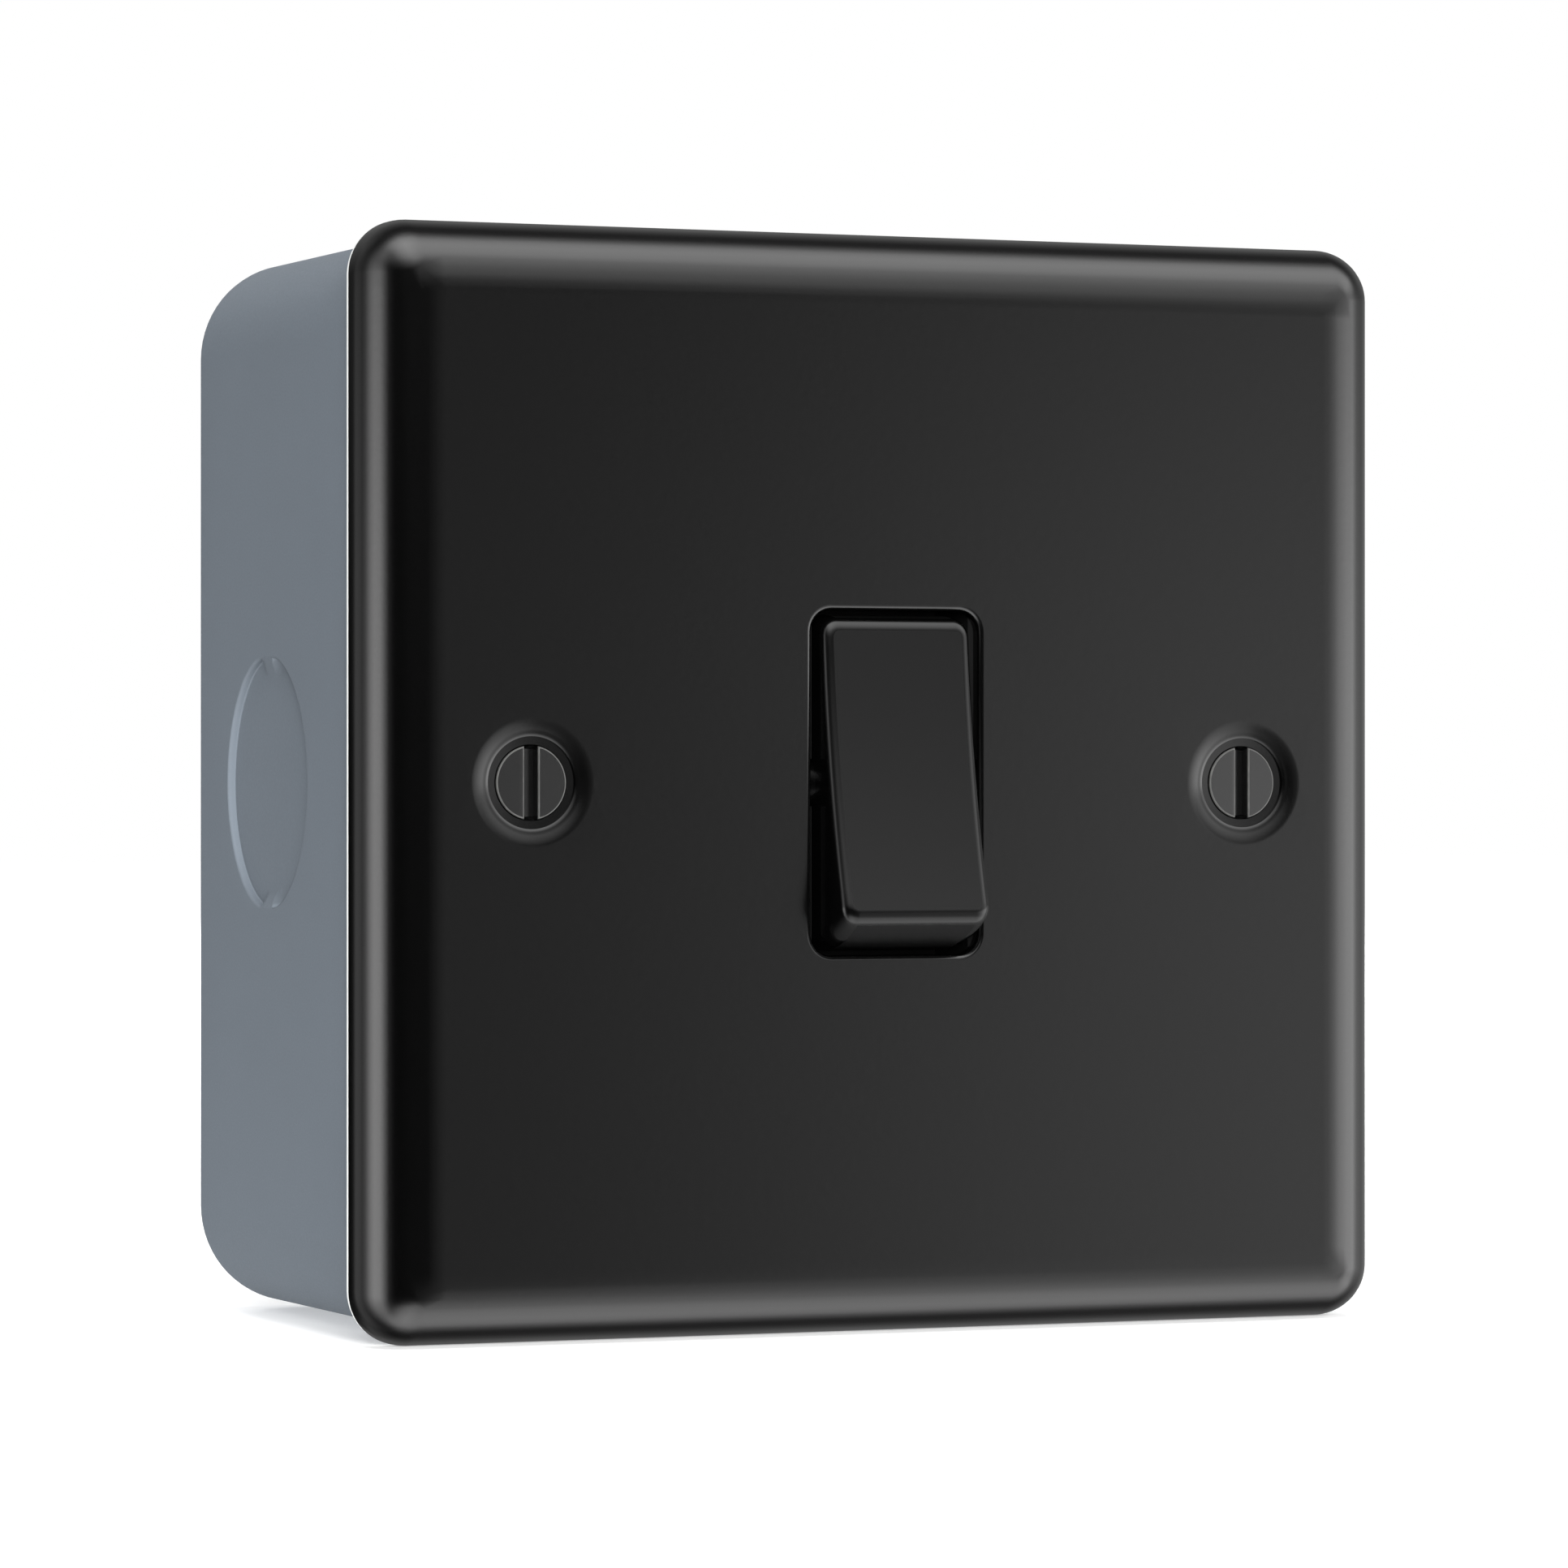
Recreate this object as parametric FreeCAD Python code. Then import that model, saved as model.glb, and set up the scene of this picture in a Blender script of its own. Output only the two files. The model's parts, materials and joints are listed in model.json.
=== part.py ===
import FreeCAD, Part
import math
import os

# Surface mounted light switch: one gang, one rocker, two way.
# Millimetres. Origin at the centre of the box's wall face, +Z up, the front faces -Y.

# Surface box, drawn from sheet steel
box_width = 85.0
box_height = 85.0
box_depth = 40.0
box_wall = 1.2
box_corner_radius = 8.0
box_fold_radius = 2.0
knockout_diameter = 20.5
knockout_lug_gap = 2.25
knockout_step = 0.6
knockout_tie_width = 2.6
knockout_tie_length = 1.5
back_knockout_height = 22.0
fixing_hole_diameter = 4.8
fixing_hole_inset = 17.1

# Lugs that the plate screws go into
screw_inset = 12.35
lug_thickness = 1.6
lug_width = 10.0
lug_end_radius = 5.0
lug_setback = 1.0
lug_foot_depth = 7.5
lug_bend_radius = 1.0
lug_collar_diameter = 6.0
lug_collar_depth = 1.8

# Gasket between box and plate
gasket_thickness = 0.6
gasket_width = 2.4
gasket_stand_out = 0.45

# Face plate, pressed from sheet steel with a soft rolled edge
plate_overhang = 0.5
plate_depth = 5.8
plate_thickness = 1.2
plate_corner_radius = 4.2
plate_roll_radius = 5.1
opening_width = 14.3
opening_height = 27.2
opening_corner_radius = 1.7
opening_edge_radius = 0.3

# Dimple and countersink round each plate screw
dimple_diameter = 9.4
dimple_depth = 0.5
countersink_diameter = 7.1

# Plate screws
screw_diameter = 3.5
screw_head_diameter = 5.7
screw_head_proud = 0.2
screw_length = 25.0
screw_slot_width = 1.1
screw_slot_depth = 0.8
screw_chamfer = 0.12
thread_clearance = 0.05

# Rocker
rocker_width = 12.5
rocker_face_length = 23.6
rocker_end_height = 5.7
rocker_face_dish = 0.7
rocker_skirt_depth = 2.0
rocker_edge_radius = 0.8
rocker_wall = 1.6
rocker_throw = 21.2
pivot_behind_front = 3.15
trunnion_diameter = 3.6
trunnion_length = 2.3
running_clearance = 0.05
barrel_diameter = 5.6
barrel_depth = 7.0
barrel_floor_height = 1.5

# Plunger and its spring
plunger_diameter = 3.6
plunger_tip_diameter = 3.0
plunger_reach = 11.0
plunger_head_depth = 4.5
spring_wire = 0.4
spring_clearance = 0.15
spring_turns = 5

# Switch housing
housing_side_gap = 0.4
housing_end_gap = 0.5
housing_side_wall = 3.0
housing_end_wall = 2.4
flange_stud_margin = 4.0
flange_end_margin = 3.0
flange_thickness = 2.5
flange_corner_radius = 3.0
housing_depth = 15.2
rear_flange_thickness = 3.0
stop_thickness = 2.0
stop_reach = 1.6
stop_gap = 0.1
trunnion_end_gap = 0.15

# Studs and nuts that hold the housing to the plate
stud_from_tower = 6.35
stud_diameter = 3.0
stud_length = 6.0
stud_hole_clearance = 0.1
nut_across_flats = 5.5
nut_thickness = 2.4

# Terminal base
base_width = 25.0
base_height = 35.0
base_depth = 10.7
base_corner_radius = 1.5
base_side_wall = 2.0
base_rear_wall = 1.5
base_screw_diameter = 2.2
base_screw_head_diameter = 4.0
base_screw_head_height = 1.4
base_screw_grip = 2.6
base_screw_inset = 2.5
base_boss_diameter = 4.4
base_screw_slot_width = 0.6
base_screw_slot_depth = 0.6

# Terminals
terminal_width = 8.0
terminal_height = 8.0
terminal_depth = 7.6
terminal_pitch = 10.5
terminal_fit = 0.1
chimney_wall = 1.2
wire_bore_diameter = 3.6
wire_entry_diameter = 4.4
terminal_screw_length = 3.6
clamp_screw_lift = 0.9
terminal_screw_slot_width = 0.8
terminal_screw_slot_depth = 0.9
screw_access_diameter = 4.0

# Moving contact, its saddle and the contact tips
contact_axis_behind_front = 14.9
contact_width = 6.0
contact_thickness = 1.0
contact_wing_length = 12.0
contact_wing_angle = 14.0
contact_swing = 16.0
contact_apex_radius = 1.0
saddle_height = 4.4
saddle_lip = 0.5
cheek_thickness = 0.8
cheek_gap = 0.2
cheek_reach = 1.5
pad_width = 5.0
tip_diameter = 3.0
tip_thickness = 0.6
tip_gap = 0.1

# Earth terminals
earth_block_width = 7.0
earth_block_height = 7.0
earth_block_depth = 7.5
earth_block_edge_radius = 0.9
earth_stud_diameter = 3.0
earth_stud_length = 1.5
earth_screw_length = 4.2
box_earth_inset = 15.5
plate_earth_gap = 4.0

# How far a cut runs past the face it opens, and how near two planes count as one
cut_margin = 1.0
same_plane = 1e-3

# Sizes and places that follow from the ones above
plate_width = box_width + 2 * plate_overhang
plate_height = box_height + 2 * plate_overhang
screw_spacing = box_width - 2 * screw_inset
knockout_from_wall = box_depth - lug_setback - lug_foot_depth - knockout_lug_gap - knockout_diameter / 2
fixing_hole_x = box_width / 2 - fixing_hole_inset
fixing_hole_z = box_height / 2 - fixing_hole_inset
rocker_end_radius = math.hypot(rocker_face_length / 2, rocker_end_height)
rest_tilt = -rocker_throw / 2
cavity_width = rocker_width + 2 * housing_side_gap
cavity_height = 2 * (rocker_end_radius + housing_end_gap)
tower_width = cavity_width + 2 * housing_side_wall
tower_height = cavity_height + 2 * housing_end_wall
stud_x = tower_width / 2 + stud_from_tower
flange_width = 2 * (stud_x + flange_stud_margin)
flange_height = tower_height + 2 * flange_end_margin
base_screw_x = base_width / 2 - base_screw_inset
base_screw_z = base_height / 2 - base_screw_inset
closed_swing = contact_swing / 2
rest_swing = -closed_swing
box_earth_x = box_width / 2 - box_earth_inset
plate_earth_z = -(flange_height / 2 + plate_earth_gap + earth_block_height / 2)

# Planes along Y, from the wall to the front
box_rim_y = -box_depth
plate_rear_y = box_rim_y - gasket_thickness
plate_front_y = plate_rear_y - plate_depth
plate_inner_y = plate_front_y + plate_thickness
pivot_y = plate_front_y + pivot_behind_front
housing_rear_y = plate_inner_y + housing_depth
base_rear_y = housing_rear_y + base_depth
terminal_rear_y = base_rear_y - base_rear_wall - terminal_fit
terminal_front_y = terminal_rear_y - terminal_depth
terminal_bore_y = (terminal_front_y + terminal_rear_y) / 2
contact_y = plate_front_y + contact_axis_behind_front
rear = FreeCAD.Vector(0, 1, 0)
right = FreeCAD.Vector(1, 0, 0)
pivot = FreeCAD.Vector(0, pivot_y, 0)
contact_axis = FreeCAD.Vector(0, contact_y, 0)


def vec(x, y, z):
    return FreeCAD.Vector(x, y, z)


def block(x0, x1, y0, y1, z0, z1):
    return Part.makeBox(x1 - x0, y1 - y0, z1 - z0, vec(x0, y0, z0))


def centred_block(width, y0, y1, height, x=0.0, z=0.0):
    return block(x - width / 2, x + width / 2, y0, y1, z - height / 2, z + height / 2)


def rod(diameter, y0, y1, x=0.0, z=0.0):
    return Part.makeCylinder(diameter / 2, y1 - y0, vec(x, y0, z), rear)


def cross_rod(diameter, x0, x1, y, z=0.0):
    return Part.makeCylinder(diameter / 2, x1 - x0, vec(x0, y, z), right)


def polygon_face(corners):
    return Part.Face(Part.makePolygon(corners + corners[:1]))


def hexagon(centre, radius):
    turns = [math.radians(60 * i) for i in range(6)]
    return polygon_face([centre + vec(radius * math.cos(t), 0, radius * math.sin(t)) for t in turns])


def edges_along_y(solid):
    return [e for e in solid.Edges if e.tangentAt(e.FirstParameter).cross(rear).Length < same_plane]


def edges_in_plane(solid, y):
    bounds = [(e, e.BoundBox) for e in solid.Edges]
    return [e for e, b in bounds if abs(b.YMin - y) < same_plane and abs(b.YMax - y) < same_plane]


def rounded_prism(width, height, radius, y0, y1):
    solid = centred_block(width, y0, y1, height)
    return solid.makeFillet(radius, edges_along_y(solid))


def rolled_prism(width, height, corner, roll, y0, y1, rolled_y):
    prism = rounded_prism(width, height, corner, y0, y1)
    return prism.makeFillet(roll, edges_in_plane(prism, rolled_y))


def revolved(points, axis_x):
    # Points are (radius, y) pairs, turned about a line along Y.
    face = polygon_face([vec(axis_x + r, y, 0) for r, y in points])
    return face.revolve(vec(axis_x, 0, 0), rear, 360)


def slotted(screw, y_face, depth, width, x, z, into=1):
    # A driver slot, cut upright across a screw's end.
    y0, y1 = sorted((y_face, y_face + into * depth))
    length = screw.BoundBox.ZLength + 2 * cut_margin
    return screw.cut(centred_block(width, y0, y1, length, x, z))


# Surface box

def knockout(centre, inward):
    # A disc pressed part of the way in, still held by two short ties.
    radius = knockout_diameter / 2
    recess = Part.makeCylinder(radius, knockout_step, centre, inward)
    raised = Part.makeCylinder(radius, knockout_step, centre + inward * box_wall, inward)
    across = rear if inward.cross(right).Length < same_plane else right
    along = inward.cross(across)
    for side in (-1, 1):
        start = centre + along * (side * (radius - knockout_tie_length))
        end = centre + along * (side * (radius + knockout_tie_length))
        half = across * (knockout_tie_width / 2)
        strip = polygon_face([start - half, start + half, end + half, end - half])
        recess = recess.cut(strip.extrude(inward * knockout_step))
    return recess, raised


def knockout_places():
    half_width, half_height = box_width / 2, box_height / 2
    side_y = -knockout_from_wall
    return [
        (vec(-half_width, side_y, 0), vec(1, 0, 0)),
        (vec(half_width, side_y, 0), vec(-1, 0, 0)),
        (vec(0, side_y, half_height), vec(0, 0, -1)),
        (vec(0, side_y, -half_height), vec(0, 0, 1)),
        (vec(0, 0, back_knockout_height), vec(0, -1, 0)),
        (vec(0, 0, -back_knockout_height), vec(0, -1, 0)),
    ]


def fixing_hole_places():
    return [(sx * fixing_hole_x, sz * fixing_hole_z) for sx in (-1, 1) for sz in (-1, 1)]


def surface_box():
    shell = rolled_prism(box_width, box_height, box_corner_radius, box_fold_radius, box_rim_y, 0, 0)
    inside = rolled_prism(
        box_width - 2 * box_wall, box_height - 2 * box_wall, box_corner_radius - box_wall,
        box_fold_radius - box_wall, box_rim_y - box_wall, -box_wall, -box_wall,
    )
    shell = shell.cut(inside)
    for centre, inward in knockout_places():
        recess, raised = knockout(centre, inward)
        shell = shell.cut(recess).fuse(raised)
    for x, z in fixing_hole_places():
        shell = shell.cut(rod(fixing_hole_diameter, -box_wall - cut_margin, cut_margin, x, z))
    return shell.removeSplitter()


def fixing_lug(side):
    # An angle of strip: the foot is welded to the box's side and the tab takes the screw.
    wall_x = box_width / 2 - box_wall
    hole_x = screw_spacing / 2
    front_y = box_rim_y + lug_setback
    tab = block(hole_x, wall_x, front_y, front_y + lug_thickness, -lug_width / 2, lug_width / 2)
    tab = tab.fuse(rod(2 * lug_end_radius, front_y, front_y + lug_thickness, hole_x))
    foot = block(
        wall_x - lug_thickness, wall_x, front_y, front_y + lug_foot_depth, -lug_width / 2, lug_width / 2
    )
    angle = tab.fuse(foot).removeSplitter()
    bend = [e for e in edges_in_plane(angle, front_y) if wall_x - e.BoundBox.XMin < same_plane]
    angle = angle.makeFillet(lug_bend_radius, bend)
    collar_y = front_y + lug_thickness
    collar_end_y = collar_y + lug_collar_depth
    angle = angle.fuse(rod(lug_collar_diameter, collar_y, collar_end_y, hole_x))
    hole_diameter = screw_diameter + 2 * thread_clearance
    angle = angle.cut(rod(hole_diameter, front_y - cut_margin, collar_end_y + cut_margin, hole_x))
    angle = angle.removeSplitter()
    return angle if side > 0 else angle.mirror(vec(0, 0, 0), right)


def earth_block(x, z, y_seat, out):
    # A tapped brass block on a short stud: out is the way it stands away from its seat.
    y_end = y_seat + out * earth_block_depth
    y0, y1 = sorted((y_seat, y_end))
    body = centred_block(earth_block_width, y0, y1, earth_block_height, x, z)
    body = body.makeFillet(earth_block_edge_radius, edges_along_y(body))
    bore_y = (y0 + y1) / 2
    bore = cross_rod(wire_bore_diameter, x - earth_block_width, x + earth_block_width, bore_y, z)
    stud_y0, stud_y1 = sorted((y_seat, y_seat + out * earth_stud_length))
    socket = rod(earth_stud_diameter + 2 * thread_clearance, stud_y0, stud_y1, x, z)
    tapped_y0, tapped_y1 = sorted((bore_y, y_end))
    tapped = rod(screw_diameter + 2 * thread_clearance, tapped_y0, tapped_y1, x, z)
    return body.cut(bore).cut(socket).cut(tapped)


def earth_stud(x, z, y_seat, out):
    y0, y1 = sorted((y_seat, y_seat + out * (earth_stud_length - thread_clearance)))
    return rod(earth_stud_diameter, y0, y1, x, z)


def clamp_screw(x, z, y_bore, out, length):
    # A headless brass screw that presses on the wire: out points to its slotted end.
    y_tip = y_bore + out * clamp_screw_lift
    y_end = y_tip + out * length
    y0, y1 = sorted((y_tip, y_end))
    body = rod(screw_diameter, y0, y1, x, z)
    return slotted(body, y_end, terminal_screw_slot_depth, terminal_screw_slot_width, x, z, -out)


# Face plate and what is fixed to it

def gasket():
    outer_width = box_width + 2 * gasket_stand_out
    outer_height = box_height + 2 * gasket_stand_out
    ring = rounded_prism(outer_width, outer_height, plate_corner_radius, plate_rear_y, box_rim_y)
    hollow = rounded_prism(
        outer_width - 2 * gasket_width, outer_height - 2 * gasket_width,
        plate_corner_radius - gasket_width, plate_rear_y - cut_margin, box_rim_y + cut_margin,
    )
    return ring.cut(hollow)


def dimple_solids(x):
    # The dent in front, the bulge behind it and the countersunk hole through both.
    outer = dimple_diameter / 2
    floor = countersink_diameter / 2
    floor_y = plate_front_y + dimple_depth
    back_y = floor_y + plate_thickness
    before_y = plate_front_y - cut_margin
    behind_y = back_y + cut_margin
    dent = revolved(
        [(0, before_y), (outer, before_y), (outer, plate_front_y), (floor, floor_y), (0, floor_y)], x)
    bulge = revolved([(0, floor_y), (floor, floor_y), (outer, plate_inner_y), (floor, back_y), (0, back_y)], x)
    hole = revolved(
        [(0, before_y), (floor, before_y), (floor, floor_y),
         (floor - plate_thickness, back_y), (floor - plate_thickness, behind_y), (0, behind_y)], x)
    return dent, bulge, hole


def face_plate():
    plate = rolled_prism(
        plate_width, plate_height, plate_corner_radius, plate_roll_radius,
        plate_front_y, plate_rear_y, plate_front_y,
    )
    inside = rolled_prism(
        plate_width - 2 * plate_thickness, plate_height - 2 * plate_thickness,
        plate_corner_radius - plate_thickness, plate_roll_radius - plate_thickness,
        plate_inner_y, plate_rear_y + plate_thickness, plate_inner_y,
    )
    plate = plate.cut(inside)
    window = rounded_prism(
        opening_width, opening_height, opening_corner_radius,
        plate_front_y - cut_margin, plate_inner_y + cut_margin,
    )
    plate = plate.cut(window)
    rim = [
        e for e in edges_in_plane(plate, plate_front_y)
        if abs(e.CenterOfMass.x) <= opening_width / 2 and abs(e.CenterOfMass.z) <= opening_height / 2
    ]
    plate = plate.makeFillet(opening_edge_radius, rim)
    for side in (-1, 1):
        dent, bulge, hole = dimple_solids(side * screw_spacing / 2)
        plate = plate.fuse(bulge).cut(dent).cut(hole)
    return plate.removeSplitter()


def plate_screw(x):
    # Countersunk head with a tall rim, an upright slot and a plain shank of the thread's size.
    floor_y = plate_front_y + dimple_depth
    face_y = floor_y - screw_head_proud
    head = screw_head_diameter / 2
    shank = screw_diameter / 2
    cone_y = floor_y + (countersink_diameter - screw_head_diameter) / 2
    body = revolved(
        [(0, face_y), (head - screw_chamfer, face_y), (head, face_y + screw_chamfer), (head, cone_y),
         (shank, cone_y + head - shank), (shank, face_y + screw_length - shank / 2),
         (shank / 2, face_y + screw_length), (0, face_y + screw_length)], x)
    return slotted(body, face_y, screw_slot_depth, screw_slot_width, x, 0)


def module_stud(side):
    return rod(stud_diameter, plate_inner_y, plate_inner_y + stud_length, side * stud_x)


def module_nut(side):
    x = side * stud_x
    y0 = plate_inner_y + flange_thickness
    y1 = y0 + nut_thickness
    nut = hexagon(vec(x, y0, 0), nut_across_flats / math.sqrt(3)).extrude(rear * nut_thickness)
    return nut.cut(rod(stud_diameter + 2 * thread_clearance, y0 - cut_margin, y1 + cut_margin, x))


# Switch module

def stop_ledge(side):
    # The ledge that the rocker's skirt comes down on at the end of its travel.
    tilt = math.radians(rest_tilt)
    skirt_y = rocker_skirt_depth * math.cos(tilt) - rocker_end_radius * math.sin(tilt)
    y0 = pivot_y + skirt_y + stop_gap
    z0, z1 = sorted((side * (cavity_height / 2 - stop_reach), side * (cavity_height / 2 + stop_gap)))
    return block(-cavity_width / 2, cavity_width / 2, y0, y0 + stop_thickness, z0, z1)


def trunnion_slots():
    # Two blind slots, open to the front, that the rocker drops into.
    width = trunnion_diameter + 2 * running_clearance
    reach = rocker_width / 2 + trunnion_length + trunnion_end_gap
    slot = cross_rod(width, -reach, reach, pivot_y)
    return slot.fuse(centred_block(2 * reach, plate_inner_y - cut_margin, pivot_y, width))


def module_housing():
    flange = rounded_prism(
        flange_width, flange_height, flange_corner_radius, plate_inner_y, plate_inner_y + flange_thickness
    )
    tower = rounded_prism(tower_width, tower_height, base_corner_radius, plate_inner_y, housing_rear_y)
    foot_y = housing_rear_y - rear_flange_thickness
    foot = rounded_prism(base_width, base_height, base_corner_radius, foot_y, housing_rear_y)
    body = flange.fuse(tower).fuse(foot)
    front_y, behind_y = plate_inner_y - cut_margin, housing_rear_y + cut_margin
    body = body.cut(centred_block(cavity_width, front_y, behind_y, cavity_height))
    body = body.fuse(stop_ledge(1)).fuse(stop_ledge(-1)).cut(trunnion_slots())
    for side in (-1, 1):
        hole = rod(stud_diameter + 2 * stud_hole_clearance, front_y, housing_rear_y, side * stud_x)
        body = body.cut(hole)
    for x, z in base_screw_places():
        hole = rod(base_screw_diameter + 2 * thread_clearance, foot_y - cut_margin, behind_y, x, z)
        body = body.cut(hole)
    return body.removeSplitter()


def base_screw_places():
    return [(-base_screw_x, base_screw_z), (base_screw_x, -base_screw_z)]


def terminal_heights():
    return {"common": 0.0, "upper": terminal_pitch, "lower": -terminal_pitch}


def base_pockets():
    # The chimney of each terminal, and the hollows beside them that save plastic.
    floor_y = base_rear_y - base_rear_wall
    front_y = housing_rear_y - cut_margin
    pocket_width = terminal_width + 2 * terminal_fit
    pocket_height = terminal_height + 2 * terminal_fit
    cuts = []
    for z in terminal_heights().values():
        cuts.append(centred_block(pocket_width, front_y, floor_y, pocket_height, 0, z))
        cuts.append(rod(screw_access_diameter, floor_y - cut_margin, base_rear_y + cut_margin, 0, z))
        cuts.append(cross_rod(wire_entry_diameter, 0, base_width, terminal_bore_y, z))
    inner = pocket_width / 2 + chimney_wall
    outer = base_width / 2 - base_side_wall
    half = base_screw_z - base_boss_diameter / 2
    cuts.append(block(-outer, -inner, front_y, floor_y, -half, half))
    cuts.append(block(inner, outer, front_y, floor_y, -half, half))
    return cuts


def module_base():
    body = rounded_prism(base_width, base_height, base_corner_radius, housing_rear_y, base_rear_y)
    for cut in base_pockets():
        body = body.cut(cut)
    front_y, behind_y = housing_rear_y - cut_margin, base_rear_y + cut_margin
    for x, z in base_screw_places():
        body = body.cut(rod(base_screw_diameter + 2 * thread_clearance, front_y, behind_y, x, z))
    return body.removeSplitter()


def base_screw(x, z):
    shank = rod(base_screw_diameter, housing_rear_y - base_screw_grip, base_rear_y, x, z)
    head = rod(base_screw_head_diameter, base_rear_y, base_rear_y + base_screw_head_height, x, z)
    screw = shank.fuse(head).removeSplitter()
    y_end = base_rear_y + base_screw_head_height
    return slotted(screw, y_end, base_screw_slot_depth, base_screw_slot_width, x, z, -1)


def terminal_block(z):
    body = centred_block(terminal_width, terminal_front_y, terminal_rear_y, terminal_height, 0, z)
    bore = cross_rod(wire_bore_diameter, -terminal_width, terminal_width, terminal_bore_y, z)
    tapped_end_y = terminal_rear_y + cut_margin
    tapped = rod(screw_diameter + 2 * thread_clearance, terminal_bore_y, tapped_end_y, 0, z)
    return body.cut(bore).cut(tapped)


def wing_direction(side, swing):
    # Where a wing of the moving contact points, away from its pivot.
    lean = math.radians(contact_wing_angle) - side * math.radians(swing)
    return vec(0, -math.sin(lean), side * math.cos(lean))


def wing_normal(side, swing):
    # The way the rear face of a wing looks.
    return right.cross(wing_direction(side, swing)) * -side


def wing_place(side, swing, depth):
    # The spot behind a wing, at the height where it carries its contact tip.
    reach = wing_direction(side, swing) * terminal_pitch
    return contact_axis + reach + wing_normal(side, swing) * depth


def way_terminal(side):
    # The block and the post that carries the fixed contact tip, sloped to meet the moving one.
    z = side * terminal_pitch
    body = terminal_block(z)
    seat = wing_place(side, side * closed_swing, contact_thickness / 2 + 2 * tip_thickness + tip_gap)
    half = wing_direction(side, side * closed_swing) * (pad_width / 2)
    y_back = terminal_front_y + terminal_fit
    near, far = seat - half, seat + half
    corners = [near, far, vec(0, y_back, far.z), vec(0, y_back, near.z)]
    post = polygon_face(corners).extrude(right * pad_width)
    post.translate(right * (-pad_width / 2))
    return body.fuse(post).removeSplitter()


def common_terminal():
    # The block, the grooved saddle that the moving contact rocks on and two cheeks beside it.
    body = terminal_block(0)
    inner = contact_width / 2 + cheek_gap
    outer = inner + cheek_thickness
    y_back = terminal_front_y + terminal_fit
    saddle = centred_block(2 * outer, contact_y + saddle_lip, y_back, saddle_height)
    groove = cross_rod(2 * (contact_apex_radius + running_clearance), -outer, outer, contact_y)
    body = body.fuse(saddle).cut(groove)
    for side in (-1, 1):
        x0, x1 = sorted((side * inner, side * outer))
        cheek = block(x0, x1, contact_y - cheek_reach, y_back, -saddle_height / 2, saddle_height / 2)
        body = body.fuse(cheek)
    return body.removeSplitter()


def terminal_screw(z):
    return clamp_screw(0, z, terminal_bore_y, 1, terminal_screw_length)


def fixed_tip(side):
    swing = side * closed_swing
    seat = wing_place(side, swing, contact_thickness / 2 + tip_thickness + tip_gap)
    return Part.makeCylinder(tip_diameter / 2, tip_thickness, seat, wing_normal(side, swing))


# Moving contact, closed on its lower way at rest

def moving_contact():
    half_width = contact_width / 2
    solid = cross_rod(2 * contact_apex_radius, -half_width, half_width, contact_y)
    root = contact_axis - right * half_width
    for side in (-1, 1):
        end = root + wing_direction(side, rest_swing) * contact_wing_length
        half = wing_normal(side, rest_swing) * (contact_thickness / 2)
        wing = polygon_face([root - half, end - half, end + half, root + half])
        solid = solid.fuse(wing.extrude(right * contact_width))
    return solid.cut(contact_front_trim()).removeSplitter()


def contact_front_trim():
    # Takes the front of the rounded apex away, so the plunger meets the two wings only.
    half = contact_thickness / 2
    bisector = (wing_normal(1, rest_swing) + wing_normal(-1, rest_swing)).normalize()
    forward = bisector * -contact_wing_length
    valley = contact_axis - bisector * (half / math.cos(math.radians(contact_wing_angle)))
    valley = valley - right * contact_width
    upper = valley + wing_direction(1, rest_swing) * contact_wing_length
    lower = valley + wing_direction(-1, rest_swing) * contact_wing_length
    face = polygon_face([valley, upper, upper + forward, lower + forward, lower])
    return face.extrude(right * (2 * contact_width))


def moving_tip(side):
    seat = wing_place(side, rest_swing, contact_thickness / 2)
    return Part.makeCylinder(tip_diameter / 2, tip_thickness, seat, wing_normal(side, rest_swing))


# Rocker, plunger and spring: drawn square to the plate, then tipped to rest with the top in

def tipped(shape):
    shape.rotate(pivot, right, rest_tilt)
    return shape


def rocker_profile(inset, skirt):
    # Side view: a dished face, two ends that are arcs about the pivot and an open back.
    end_radius = rocker_end_radius - inset
    front = rocker_end_height - inset
    half = math.sqrt(end_radius ** 2 - front ** 2)
    back_half = math.sqrt(end_radius ** 2 - skirt ** 2)
    middle = front - rocker_face_dish

    def at(height, z):
        return vec(0, pivot_y - height, z)

    edges = [
        Part.Arc(at(front, -half), at(middle, 0), at(front, half)).toShape(),
        Part.Arc(at(front, half), at(0, end_radius), at(-skirt, back_half)).toShape(),
        Part.LineSegment(at(-skirt, back_half), at(-skirt, -back_half)).toShape(),
        Part.Arc(at(-skirt, -back_half), at(0, -end_radius), at(front, -half)).toShape(),
    ]
    return Part.Face(Part.Wire(edges))


def rocker():
    body = rocker_profile(0, rocker_skirt_depth).extrude(right * rocker_width)
    body.translate(right * (-rocker_width / 2))
    back_y = pivot_y + rocker_skirt_depth
    rounded = [e for e in body.Edges if e.BoundBox.YMin < back_y - same_plane]
    body = body.makeFillet(rocker_edge_radius, rounded)
    hollow_width = rocker_width - 2 * rocker_wall
    hollow = rocker_profile(rocker_wall, rocker_skirt_depth + cut_margin).extrude(right * hollow_width)
    hollow.translate(right * (-hollow_width / 2))
    body = body.cut(hollow)
    reach = rocker_width / 2 + trunnion_length
    pin = cross_rod(trunnion_diameter, -reach, reach, pivot_y)
    inside_face_y = pivot_y - rocker_end_height + rocker_face_dish + rocker_wall / 2
    barrel_end_y = pivot_y + barrel_depth
    barrel = rod(barrel_diameter, inside_face_y, barrel_end_y)
    bore_y = pivot_y - barrel_floor_height
    bore = rod(plunger_diameter + 2 * running_clearance, bore_y, barrel_end_y + cut_margin)
    return tipped(body.fuse(pin).fuse(barrel).cut(bore).removeSplitter())


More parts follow.
